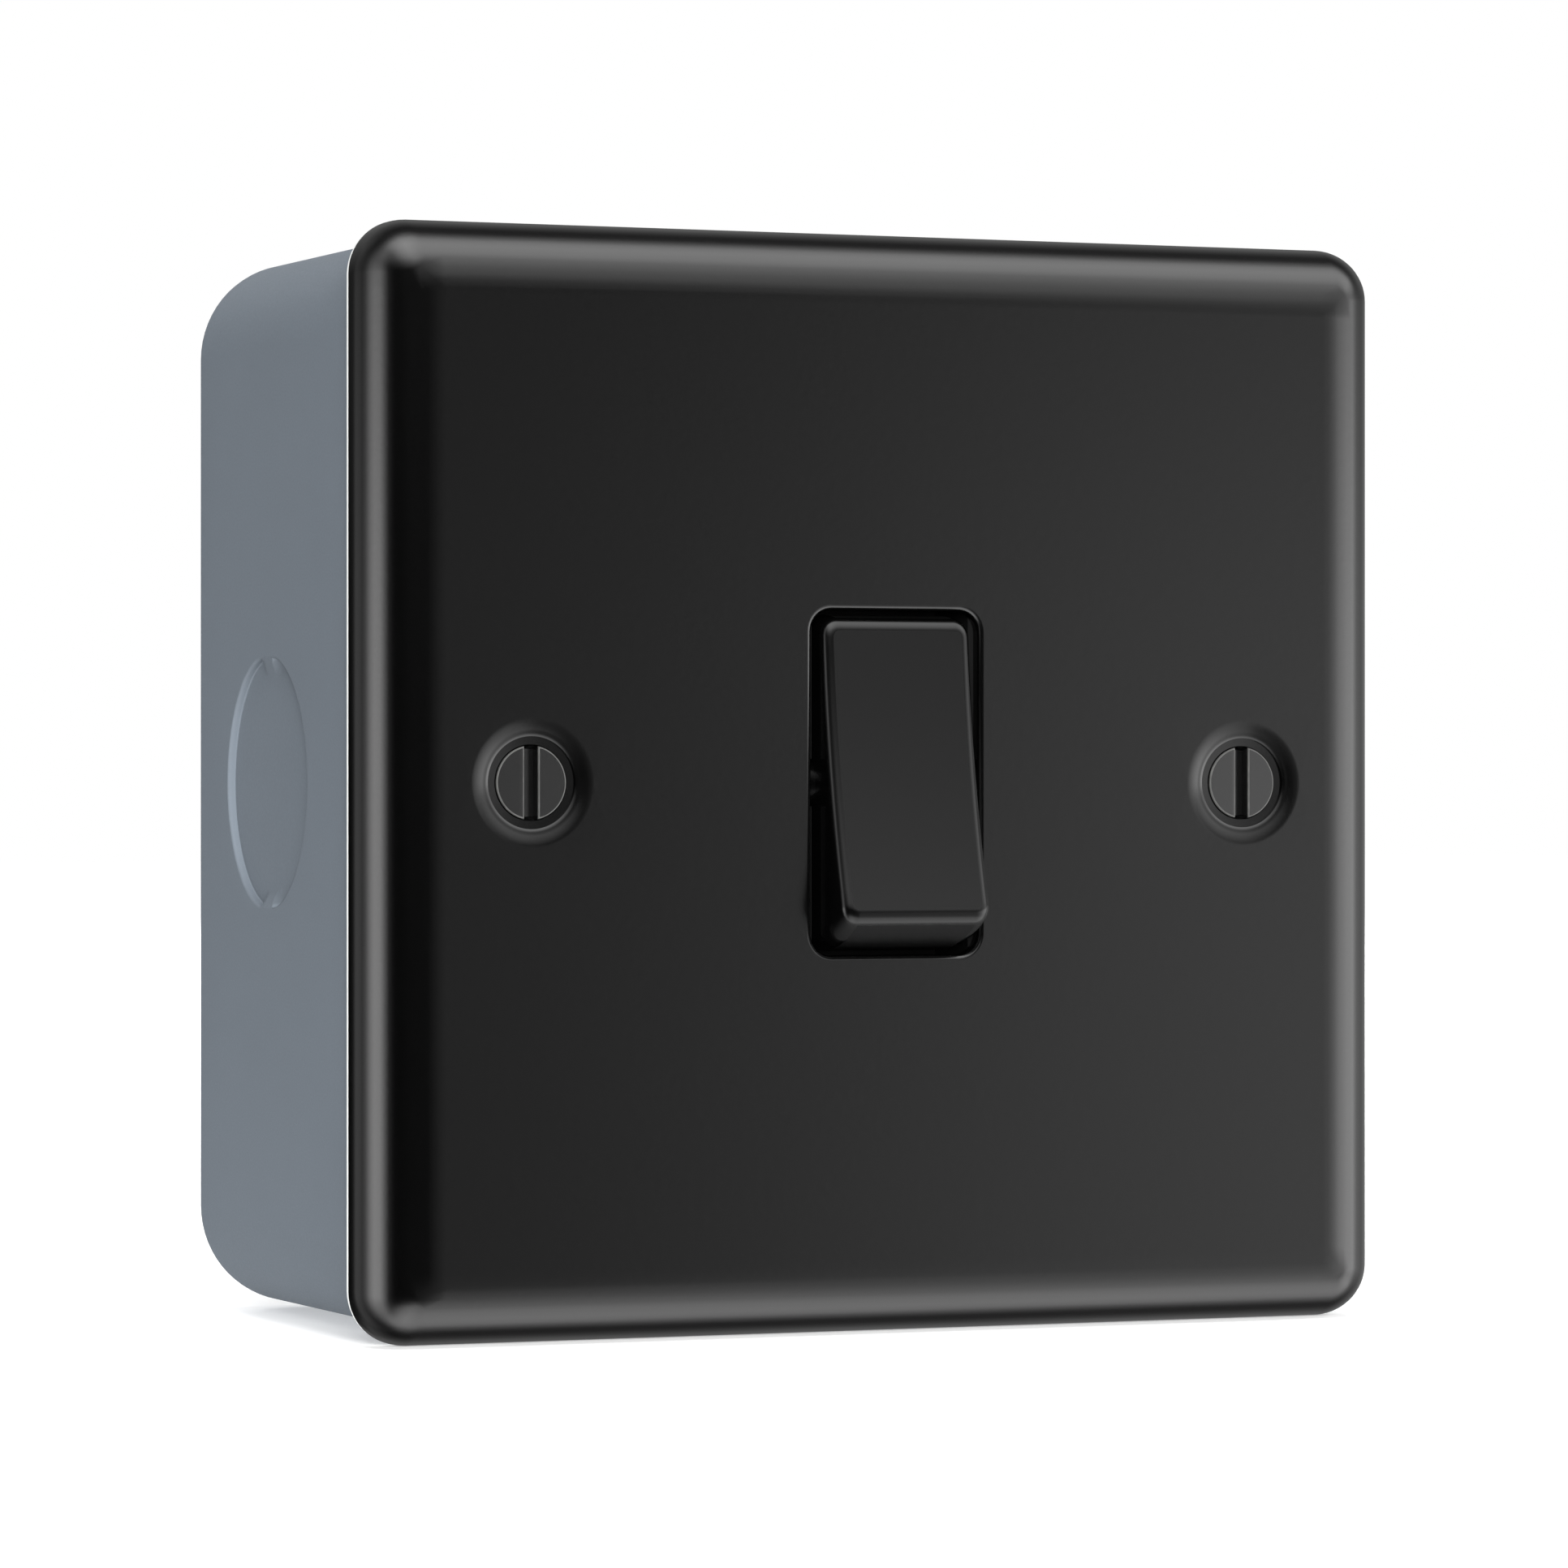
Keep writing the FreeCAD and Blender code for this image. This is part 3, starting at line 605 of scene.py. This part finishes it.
def makeRocker(moulding, polishedEdgeAndPaintedShade):
    v = rockerSizes
    pivotY = findJoint("rocker_tilt")["pos_m"][1]
    rocker = rockerBlank("rockerPaddle", pivotY, 0, v["width"], v["skirt"])
    rocker.data.materials.append(moulding)
    rocker.data.materials.append(polishedEdgeAndPaintedShade)
    startEdit(rocker)
    backY = pivotY + v["skirt"]
    endStart = v["faceLength"] / 2 - v["endSlack"]

    def onEndCorner(edge):  # where an end meets a side
        onSide = abs(abs(edgeMid(edge).x) - v["width"] / 2) < samePlace
        upright = onSide and abs(edgeRun(edge).x) < 0.5
        atEnd = all(abs(vert.co.z) > endStart for vert in edge.verts)
        return upright and atEnd and not inPlane(edge, backY)

    # the bevels take the glossier edge material, whose darker colour is partly painted shade
    pick("EDGE", onEndCorner)
    bevelPicked(v["corner"], v["cornerSteps"], material=1)
    pick("EDGE", lambda e: sharpEdge(e) and not inPlane(e, backY))
    bevelPicked(v["edge"], v["edgeSteps"], material=1)
    endEdit()
    innerWidth = v["width"] - 2 * v["wall"]
    hollow = rockerBlank("hollow", pivotY, v["wall"], innerWidth, v["skirt"] + overcut)
    combine(rocker, hollow, "DIFFERENCE")
    faceBackY = pivotY - v["endHeight"] + v["dish"] + v["wall"] / 2
    barrelEndY = pivotY + v["barrelDepth"]
    pinEnds = (-v["trunnionReach"], pivotY, 0), (v["trunnionReach"], pivotY, 0)
    pin = addRod("pin", v["trunnion"], *pinEnds, v["rodSides"])
    combine(rocker, pin, "UNION")
    barrel = addRod("barrel", v["barrel"], (0, faceBackY, 0), (0, barrelEndY, 0), v["rodSides"])
    combine(rocker, barrel, "UNION")
    boreEnds = (0, pivotY + v["boreStart"], 0), (0, barrelEndY + overcut, 0)
    bore = addRod("bore", v["bore"], *boreEnds, v["rodSides"])
    combine(rocker, bore, "DIFFERENCE")
    startEdit(rocker)
    outside = v["width"] / 2 - samePlace
    pick("FACE", lambda f: abs(f.calc_center_median().x) > outside)  # sides and trunnions
    # the sides and trunnions take the edge material too: its darker colour is painted shade in the gap beside the
    # rocker
    rocker.active_material_index = 1
    bpy.ops.object.material_slot_assign()
    endEdit()
    pivot = Vector((0, pivotY, 0))
    tipWithRocker(rocker, "rockerPaddle", pivot, Matrix.Translation(-pivot))
    finishShape(rocker, v["smoothAngle"])
    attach(rocker, "rocker")
    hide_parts("rocker")


# Plunger spring

springSizes = {
    "wire": 0.2 * mm, "wireSides": 12, "coil": 1.45 * mm, "turns": 5, "stepsPerTurn": 32,
    "start": -1.3 * mm, "length": 5.6 * mm, "travel": 1.0 * mm, "smoothAngle": 40,
}


def makeSpring():
    # a wire section turned round the plunger's axis by a screw modifier, then tipped with the rocker
    v = springSizes
    deselectAll()
    bpy.ops.mesh.primitive_circle_add(vertices=v["wireSides"], radius=v["wire"], fill_type="NOTHING")
    spring = bpy.context.object
    startEdit(spring)
    bpy.ops.mesh.select_all(action="SELECT")
    bpy.ops.transform.rotate(value=quarter, orient_axis="X", center_override=(0, 0, 0))
    bpy.ops.transform.translate(value=(v["coil"], 0, 0))
    endEdit()
    applyModifier(
        spring, "SCREW", axis="Z", angle=2 * math.pi, screw_offset=v["length"] / v["turns"],
        iterations=v["turns"], steps=v["stepsPerTurn"], render_steps=v["stepsPerTurn"])
    startEdit(spring)
    pick("EDGE", lambda e: e.is_boundary)
    bpy.ops.mesh.edge_face_add()
    endEdit()
    pivot = Vector((0, findJoint("rocker_tilt")["pos_m"][1], 0))
    lay = Matrix.Translation(Vector((0, v["start"], 0))) @ Matrix.Rotation(-quarter, 4, "X")
    tipWithRocker(spring, "plungerSpring", pivot, lay)
    finishShape(spring, v["smoothAngle"])
    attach(spring, "rocker")
    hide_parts("plunger_spring")
    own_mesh(spring)
    return spring


# Shader nodes

def addNode(tree, kind, inputs=None, **settings):
    node = tree.nodes.new(kind)
    for key, value in settings.items():
        setattr(node, key, value)
    for key, value in (inputs or {}).items():
        node.inputs[key].default_value = value
    return node


def feed(tree, socket, value):  # sets a socket to a number or links it to another node's output
    if isinstance(value, (int, float)):
        socket.default_value = value
    else:
        tree.links.new(value, socket)


def mathNode(tree, operation, *values):
    node = addNode(tree, "ShaderNodeMath", operation=operation)
    for socket, value in zip(node.inputs, values):
        feed(tree, socket, value)
    return node.outputs[0]


def mixNode(tree, factor, low, high):
    node = addNode(tree, "ShaderNodeMix", data_type="FLOAT")
    for label, value in (("Factor", factor), ("A", low), ("B", high)):
        feed(tree, node.inputs[label], value)
    return node.outputs[0]


def rangeNode(tree, value, low, high, atLow=0.0, atHigh=1.0):
    node = addNode(tree, "ShaderNodeMapRange", {
        "From Min": low, "From Max": high, "To Min": atLow, "To Max": atHigh})
    tree.links.new(value, node.inputs["Value"])
    return node.outputs["Result"]


def clearTree(owner):  # an empty node tree for a material or a world
    owner.use_nodes = True
    owner.node_tree.nodes.clear()
    return owner.node_tree


# Materials

grainSetup = {  # each noise's detail and roughness, and what its values turn into
    "noises": {"Peel": (2.0, 0.55), "Speck": (1.0, 0.5), "Mottle": (4.0, 0.6)},
    "inputs": {"Peel Scale": 1500.0, "Speck Scale": 6000.0, "Mottle Scale": 60.0, "Mottle": 0.1},
    "outputs": ("Shade", "Height", "Speck"), "speckHeight": 0.35, "middle": 0.5, "speckLow": 0.3,
    "speckHigh": 0.7,
}


def buildGrainGroup():
    # fine orange peel, speckle and slow mottling of a coated or moulded surface
    v = grainSetup
    group = bpy.data.node_groups.new("surfaceGrain", "ShaderNodeTree")
    for label, value in v["inputs"].items():
        socket = group.interface.new_socket(label, in_out="INPUT", socket_type="NodeSocketFloat")
        socket.default_value = value
    for label in v["outputs"]:
        group.interface.new_socket(label, in_out="OUTPUT", socket_type="NodeSocketFloat")
    start = addNode(group, "NodeGroupInput")
    end = addNode(group, "NodeGroupOutput")
    place = addNode(group, "ShaderNodeTexCoord")
    link = group.links.new
    noises = {}
    for label, (detail, roughness) in v["noises"].items():
        noise = addNode(group, "ShaderNodeTexNoise", {"Detail": detail, "Roughness": roughness})
        link(place.outputs["Object"], noise.inputs["Vector"])
        link(start.outputs[label + " Scale"], noise.inputs["Scale"])
        noises[label] = noise.outputs["Fac"]
    speckHeight = mathNode(group, "MULTIPLY", noises["Speck"], v["speckHeight"])
    centred = mathNode(group, "SUBTRACT", noises["Mottle"], v["middle"])
    link(mathNode(group, "MULTIPLY_ADD", centred, start.outputs["Mottle"], 1.0), end.inputs["Shade"])
    link(mathNode(group, "ADD", noises["Peel"], speckHeight), end.inputs["Height"])
    link(noises["Speck"], end.inputs["Speck"])
    return group


grainGroup = buildGrainGroup()


def grainedMaterial(name, look):
    # a Principled surface whose colour, roughness and bump follow the grain group
    v = {**lookDefaults, **look}
    material = bpy.data.materials.new(name)
    tree = clearTree(material)
    link = tree.links.new
    out = addNode(tree, "ShaderNodeOutputMaterial")
    shader = addNode(tree, "ShaderNodeBsdfPrincipled", {
        "Metallic": v["metallic"], "IOR": v["ior"], "Specular IOR Level": v["specular"]})
    link(shader.outputs["BSDF"], out.inputs["Surface"])
    grain = addNode(tree, "ShaderNodeGroup", node_tree=grainGroup)
    grain.inputs["Peel Scale"].default_value = v["peel"]
    grain.inputs["Speck Scale"].default_value = v["speck"]
    grain.inputs["Mottle Scale"].default_value = v["mottleScale"]
    grain.inputs["Mottle"].default_value = v["mottle"]
    tint = addNode(tree, "ShaderNodeMix", data_type="RGBA", blend_type="MULTIPLY")
    tint.inputs["Factor"].default_value = 1.0
    tint.inputs["A"].default_value = (*v["colour"], 1.0)
    shade = addNode(tree, "ShaderNodeCombineColor")
    for channel in ("Red", "Green", "Blue"):
        link(grain.outputs["Shade"], shade.inputs[channel])
    link(shade.outputs["Color"], tint.inputs["B"])
    link(tint.outputs["Result"], shader.inputs["Base Color"])
    rough = rangeNode(
        tree, grain.outputs["Speck"], grainSetup["speckLow"], grainSetup["speckHigh"],
        v["roughness"] - v["roughSpread"], v["roughness"] + v["roughSpread"])
    link(rough, shader.inputs["Roughness"])
    bump = addNode(tree, "ShaderNodeBump", {"Strength": v["bump"], "Distance": v["bumpDepth"]})
    link(grain.outputs["Height"], bump.inputs["Height"])
    link(bump.outputs["Normal"], shader.inputs["Normal"])
    return material


lookDefaults = {"metallic": 0.0, "ior": 1.45, "specular": 0.5, "bumpDepth": 0.00001}

looks = {  # peel, speck and mottleScale are how fine the grain is, per metre
    "plateCoat": {
        "colour": (0.0008, 0.0008, 0.0008), "roughness": 0.16, "roughSpread": 0.02, "specular": 1.0,
        "ior": 1.5, "peel": 1400.0, "speck": 7000.0, "mottleScale": 45.0, "mottle": 0.12,
        "bump": 0.12, "bumpDepth": 0.00002},
    "boxCoat": {
        "colour": (0.122, 0.141, 0.163), "roughness": 0.46, "roughSpread": 0.04, "specular": 0.15,
        "peel": 1100.0, "speck": 6000.0, "mottleScale": 55.0, "mottle": 0.10, "bump": 0.15,
        "bumpDepth": 0.00002},
    "screwCoat": {
        "colour": (0.003, 0.003, 0.003), "roughness": 0.19, "roughSpread": 0.05, "specular": 1.0,
        "ior": 1.75, "peel": 3500.0, "speck": 9000.0, "mottleScale": 700.0, "mottle": 0.35,
        "bump": 0.2},
    # a lighter grey for the screw heads' bevelled edges
    "screwEdge": {
        "colour": (0.060, 0.060, 0.058), "roughness": 0.38, "roughSpread": 0.06, "specular": 0.8,
        "peel": 3500.0, "speck": 9000.0, "mottleScale": 1500.0, "mottle": 1.2, "bump": 0.2},
    "gasketPlastic": {
        "colour": (0.74, 0.75, 0.74), "roughness": 0.5, "roughSpread": 0.04, "specular": 0.4,
        "peel": 1500.0, "speck": 6000.0, "mottleScale": 90.0, "mottle": 0.08, "bump": 0.1},
    "rockerMoulding": {
        "colour": (0.0056, 0.0056, 0.0056), "roughness": 0.34, "roughSpread": 0.03, "specular": 0.30,
        "peel": 2600.0, "speck": 9000.0, "mottleScale": 120.0, "mottle": 0.08, "bump": 0.1},
    # glossier edge bands of the rocker; their darker colour, also used on its sides, is painted shade
    "rockerEdge": {
        "colour": (0.0010, 0.0010, 0.0010), "roughness": 0.13, "roughSpread": 0.03, "specular": 0.68,
        "peel": 2600.0, "speck": 9000.0, "mottleScale": 120.0, "mottle": 0.08, "bump": 0.06},
    "housingMoulding": {
        "colour": (0.005, 0.005, 0.005), "roughness": 0.5, "roughSpread": 0.05, "specular": 0.30,
        "peel": 1800.0, "speck": 7000.0, "mottleScale": 80.0, "mottle": 0.1, "bump": 0.15,
        "bumpDepth": 0.00002},
    "baseMoulding": {
        "colour": (0.60, 0.58, 0.53), "roughness": 0.45, "roughSpread": 0.04, "specular": 0.4,
        "peel": 1500.0, "speck": 7000.0, "mottleScale": 70.0, "mottle": 0.06, "bump": 0.1,
        "bumpDepth": 0.00002},
    "plungerNylon": {
        "colour": (0.75, 0.74, 0.70), "roughness": 0.4, "roughSpread": 0.04, "specular": 0.4,
        "peel": 2500.0, "speck": 9000.0, "mottleScale": 200.0, "mottle": 0.05, "bump": 0.1},
    "platedSteel": {
        "colour": (0.56, 0.56, 0.54), "roughness": 0.32, "roughSpread": 0.07, "metallic": 1.0,
        "peel": 900.0, "speck": 5000.0, "mottleScale": 160.0, "mottle": 0.25, "bump": 0.12},
    "terminalBrass": {
        "colour": (0.72, 0.52, 0.22), "roughness": 0.28, "roughSpread": 0.06, "metallic": 1.0,
        "peel": 1200.0, "speck": 6000.0, "mottleScale": 220.0, "mottle": 0.25, "bump": 0.12},
    "contactCopper": {
        "colour": (0.78, 0.43, 0.27), "roughness": 0.30, "roughSpread": 0.06, "metallic": 1.0,
        "peel": 1200.0, "speck": 6000.0, "mottleScale": 260.0, "mottle": 0.25, "bump": 0.1},
    "contactSilver": {
        "colour": (0.86, 0.85, 0.82), "roughness": 0.25, "roughSpread": 0.05, "metallic": 1.0,
        "peel": 1500.0, "speck": 8000.0, "mottleScale": 300.0, "mottle": 0.15, "bump": 0.08},
}

slotLooks = {
    "plate_paint": "plateCoat", "box_paint": "boxCoat", "black_screw": "screwCoat",
    "gasket_plastic": "gasketPlastic", "rocker_plastic": "rockerMoulding",
    "housing_plastic": "housingMoulding", "base_plastic": "baseMoulding",
    "plunger_plastic": "plungerNylon", "spring_steel": "platedSteel", "plated_steel": "platedSteel",
    "terminal_brass": "terminalBrass", "contact_copper": "contactCopper",
    "contact_silver": "contactSilver",
}


def dressPiece(piece, material):
    piece.data.materials.clear()
    piece.data.materials.append(material)


def dressNodes(materials):
    slots = {row["node"]: row["material_slot"] for row in frame["record"]["subparts"]}
    for node, item in frame["nodes"].items():
        for place in item.material_slots:
            place.material = materials[slotLooks[slots[node]]]


# Floor, camera and light

white = (1, 1, 1, 1)

stageSizes = {
    "floor": 6.0, "floorColour": (0.80, 0.80, 0.80), "nearGlow": 0.35, "farGlow": 1.0,
    "nearReach": 0.16, "farReach": 0.75, "bounce": 1.05, "bounceNear": 0.062, "bounceFar": 0.125,
}


def makeFloor():
    # a pale floor that keeps its shadow, turns white from afar, lights the box's lower corners and
    # stays out of the black plate
    v = stageSizes
    deselectAll()
    bpy.ops.mesh.primitive_plane_add(size=v["floor"], location=(0, 0, cadBounds[0][2]))
    floor = bpy.context.object
    floor.name = "floor"
    material = bpy.data.materials.new("paleFloor")
    tree = clearTree(material)
    material.cycles.emission_sampling = "NONE"
    link = tree.links.new
    out = addNode(tree, "ShaderNodeOutputMaterial")
    lit = addNode(tree, "ShaderNodeBsdfDiffuse", {"Color": (*v["floorColour"], 1.0)})
    path = addNode(tree, "ShaderNodeLightPath")
    place = addNode(tree, "ShaderNodeNewGeometry")
    length = addNode(tree, "ShaderNodeVectorMath", operation="LENGTH")
    link(place.outputs["Position"], length.inputs[0])
    reach = length.outputs["Value"]
    afar = rangeNode(tree, reach, v["nearReach"], v["farReach"], v["nearGlow"], v["farGlow"])
    close = rangeNode(tree, reach, v["bounceNear"], v["bounceFar"], v["bounce"], 0.0)
    seen = mathNode(tree, "MAXIMUM", path.outputs["Is Camera Ray"], path.outputs["Is Transmission Ray"])
    bounce = mathNode(tree, "MULTIPLY", path.outputs["Is Diffuse Ray"], close)
    glow = addNode(tree, "ShaderNodeEmission", {"Color": white})
    link(mathNode(tree, "MULTIPLY_ADD", seen, afar, bounce), glow.inputs["Strength"])
    both = addNode(tree, "ShaderNodeAddShader")
    link(lit.outputs[0], both.inputs[0])
    link(glow.outputs[0], both.inputs[1])
    clear = addNode(tree, "ShaderNodeBsdfTransparent")
    surface = addNode(tree, "ShaderNodeMixShader")
    link(path.outputs["Is Glossy Ray"], surface.inputs["Fac"])
    link(both.outputs[0], surface.inputs[1])
    link(clear.outputs[0], surface.inputs[2])
    link(surface.outputs[0], out.inputs["Surface"])
    dressPiece(floor, material)


cameraSetup = {
    "azimuth": 22.47, "distance": 538.4 * mm, "focalPixels": 8207.0, "framePixels": 1932.0,
    "aimX": -0.60 * mm, "aimY": -25.0 * mm, "aimZ": -0.10 * mm, "sensor": 36.0, "clipNear": 0.01,
    "clipFar": 50,
}


def makeCamera():
    v = cameraSetup
    turn = math.radians(v["azimuth"])
    ahead = Vector((math.sin(turn), math.cos(turn), 0))
    data = bpy.data.cameras.new("camera")
    data.sensor_width = v["sensor"]
    data.lens = v["focalPixels"] / v["framePixels"] * data.sensor_width
    data.clip_start = v["clipNear"]
    data.clip_end = v["clipFar"]
    camera = bpy.data.objects.new("camera", data)
    bpy.context.collection.objects.link(camera)
    camera.location = Vector((v["aimX"], v["aimY"], v["aimZ"])) - ahead * v["distance"]
    camera.rotation_euler = ahead.to_track_quat("-Z", "Y").to_euler()
    bpy.context.scene.camera = camera


lampAim = Vector((0, -0.03, 0))

lampSetup = {  # azimuth from straight in front (left is negative), height angle, distance, size, level
    "frontSoft": {"azimuth": -18, "height": 12, "distance": 1.3, "size": 0.6, "level": 2.1},
    "leftSoft": {"azimuth": -92, "height": 10, "distance": 1.3, "size": 0.8, "level": 0.1},
    "topSoft": {"azimuth": -10, "height": 78, "distance": 1.3, "size": 0.9, "level": 0.8},
    "rightSoft": {"azimuth": 95, "height": 20, "distance": 1.3, "size": 0.8, "level": 0.7},
    "backSoft": {"azimuth": 180, "height": 25, "distance": 1.4, "size": 0.8, "level": 0.7},
}


def makeLamps():
    # the lamps light the colours and the studio's walls only make the reflections
    for name, v in lampSetup.items():
        turn, rise = math.radians(v["azimuth"]), math.radians(v["height"])
        out = Vector((math.sin(turn) * math.cos(rise), -math.cos(turn) * math.cos(rise), math.sin(rise)))
        data = bpy.data.lights.new(name, "AREA")
        data.shape = "SQUARE"
        data.size = v["size"]
        data.energy = v["level"] * (math.pi * v["distance"]) ** 2
        lamp = bpy.data.objects.new(name, data)
        bpy.context.collection.objects.link(lamp)
        lamp.location = lampAim + out * v["distance"]
        lamp.rotation_euler = (-out).to_track_quat("-Z", "Y").to_euler()
        lamp.visible_glossy = False


worldSetup = {
    # (angle, level) pairs: left, right and overhead start straight in front, across at the far left
    "left": [
        (0, 0.01), (54, 0.0), (65, 0.12), (73, 1.1), (81, 2.3), (94, 2.4), (103, 1.6), (112, 0.6),
        (121, 0.26), (130, 0.36), (142, 0.33), (150, 0.05), (160, 0.0)],
    "right": [
        (0, 0.02), (8, 0.06), (14, 0.105), (20, 0.14), (22, 0.215), (24, 0.40), (27, 0.60), (34, 0.85),
        (46, 1.5), (60, 2.4), (78, 2.2), (92, 0.8), (110, 0.4), (140, 0.34), (160, 0.2)],
    "overhead": [
        (0, 0.0), (8, 0.02), (16, 0.20), (30, 0.56), (44, 1.26), (58, 1.65), (74, 1.8), (85, 1.45),
        (95, 0.5), (104, 0.08), (116, 0.04), (130, 0.14), (145, 0.2), (180, 0.0)],
    "across": [
        (23, 0.0), (45, 0.4), (63, 1.3), (77, 1.6), (90, 1.45), (119, 1.0), (144, 0.8), (166, 0.0)],
    "below": 0.70, "belowNear": 0.18, "belowFrom": -0.60, "belowTo": -0.34, "sideReach": 1.0,
    "sideFade": 0.15, "dimFrom": 0.02, "dimTo": 0.10, "dimLevel": 0.45, "seam": 0.05,
}


def levelByAngle(tree, points, angle):
    ramp = addNode(tree, "ShaderNodeValToRGB")
    ramp.color_ramp.interpolation = "LINEAR"
    top = max(level for degrees, level in points)
    while len(ramp.color_ramp.elements) < len(points):
        ramp.color_ramp.elements.new(0.5)
    for element, (degrees, level) in zip(ramp.color_ramp.elements, points):
        element.position = degrees / 180
        element.color = (level / top, level / top, level / top, 1.0)
    tree.links.new(angle, ramp.inputs["Fac"])
    return mathNode(tree, "MULTIPLY", ramp.outputs["Color"], top)


def angleFrom(tree, aside, ahead):  # as a share of half a turn
    return mathNode(tree, "DIVIDE", mathNode(tree, "ARCTAN2", aside, ahead), math.pi)


def makeWorld():
    # soft boxes at the sides and above, a dim room in front and a white backdrop
    v = worldSetup
    world = bpy.data.worlds.new("studio")
    bpy.context.scene.world = world
    tree = clearTree(world)
    world.cycles_visibility.diffuse = False
    link = tree.links.new
    out = addNode(tree, "ShaderNodeOutputWorld")
    direction = addNode(tree, "ShaderNodeTexCoord")
    parts = addNode(tree, "ShaderNodeSeparateXYZ")
    link(direction.outputs["Generated"], parts.inputs["Vector"])
    x, z = parts.outputs["X"], parts.outputs["Z"]
    front = mathNode(tree, "MULTIPLY", parts.outputs["Y"], -1.0)
    height = mathNode(tree, "ABSOLUTE", z)
    turn = angleFrom(tree, mathNode(tree, "ABSOLUTE", x), front)
    rise = angleFrom(tree, height, front)
    rightShare = rangeNode(tree, x, -v["seam"], v["seam"])
    sides = mixNode(
        tree, rightShare, levelByAngle(tree, v["left"], turn), levelByAngle(tree, v["right"], turn))
    fade = rangeNode(tree, height, v["sideFade"], v["sideReach"], 1.0, 0.0)
    sides = mathNode(tree, "MULTIPLY", sides, fade)
    dim = rangeNode(tree, z, v["dimFrom"], v["dimTo"], 1.0, v["dimLevel"])
    sides = mathNode(tree, "MULTIPLY", sides, dim)
    fromLeft = mathNode(tree, "ARCCOSINE", mathNode(tree, "MULTIPLY", x, -1.0))
    across = mathNode(tree, "DIVIDE", fromLeft, math.pi)
    overhead = mathNode(
        tree, "MULTIPLY", levelByAngle(tree, v["overhead"], rise), levelByAngle(tree, v["across"], across))
    lower = rangeNode(tree, z, v["belowFrom"], v["belowTo"], v["below"], v["belowNear"])
    share = mixNode(tree, rangeNode(tree, z, -v["seam"], v["seam"]), lower, 1.0)
    level = mathNode(tree, "MULTIPLY_ADD", overhead, share, sides)
    path = addNode(tree, "ShaderNodeLightPath")
    seen = mathNode(tree, "MAXIMUM", path.outputs["Is Camera Ray"], path.outputs["Is Transmission Ray"])
    background = addNode(tree, "ShaderNodeBackground", {"Color": white})
    link(mixNode(tree, seen, level, 1.0), background.inputs["Strength"])
    link(background.outputs[0], out.inputs["Surface"])


# Put it together

makeCamera()
makeFloor()
makeLamps()
makeWorld()
bpy.context.scene.view_settings.view_transform = "Standard"
print("stage, camera and light ready")

materials = {name: grainedMaterial(name, look) for name, look in looks.items()}
dressNodes(materials)
print("materials ready:", len(materials))

dressPiece(makeFacePlate(), materials["plateCoat"])
print("face plate modelled")
dressPiece(makeSurfaceBox(), materials["boxCoat"])
print("surface box modelled")
dressPiece(makeGasket(), materials["gasketPlastic"])
makeScrews(materials["screwCoat"], materials["screwEdge"])
makeRocker(materials["rockerMoulding"], materials["rockerEdge"])
dressPiece(makeSpring(), materials["platedSteel"])
print("gasket, screws, rocker and spring modelled")
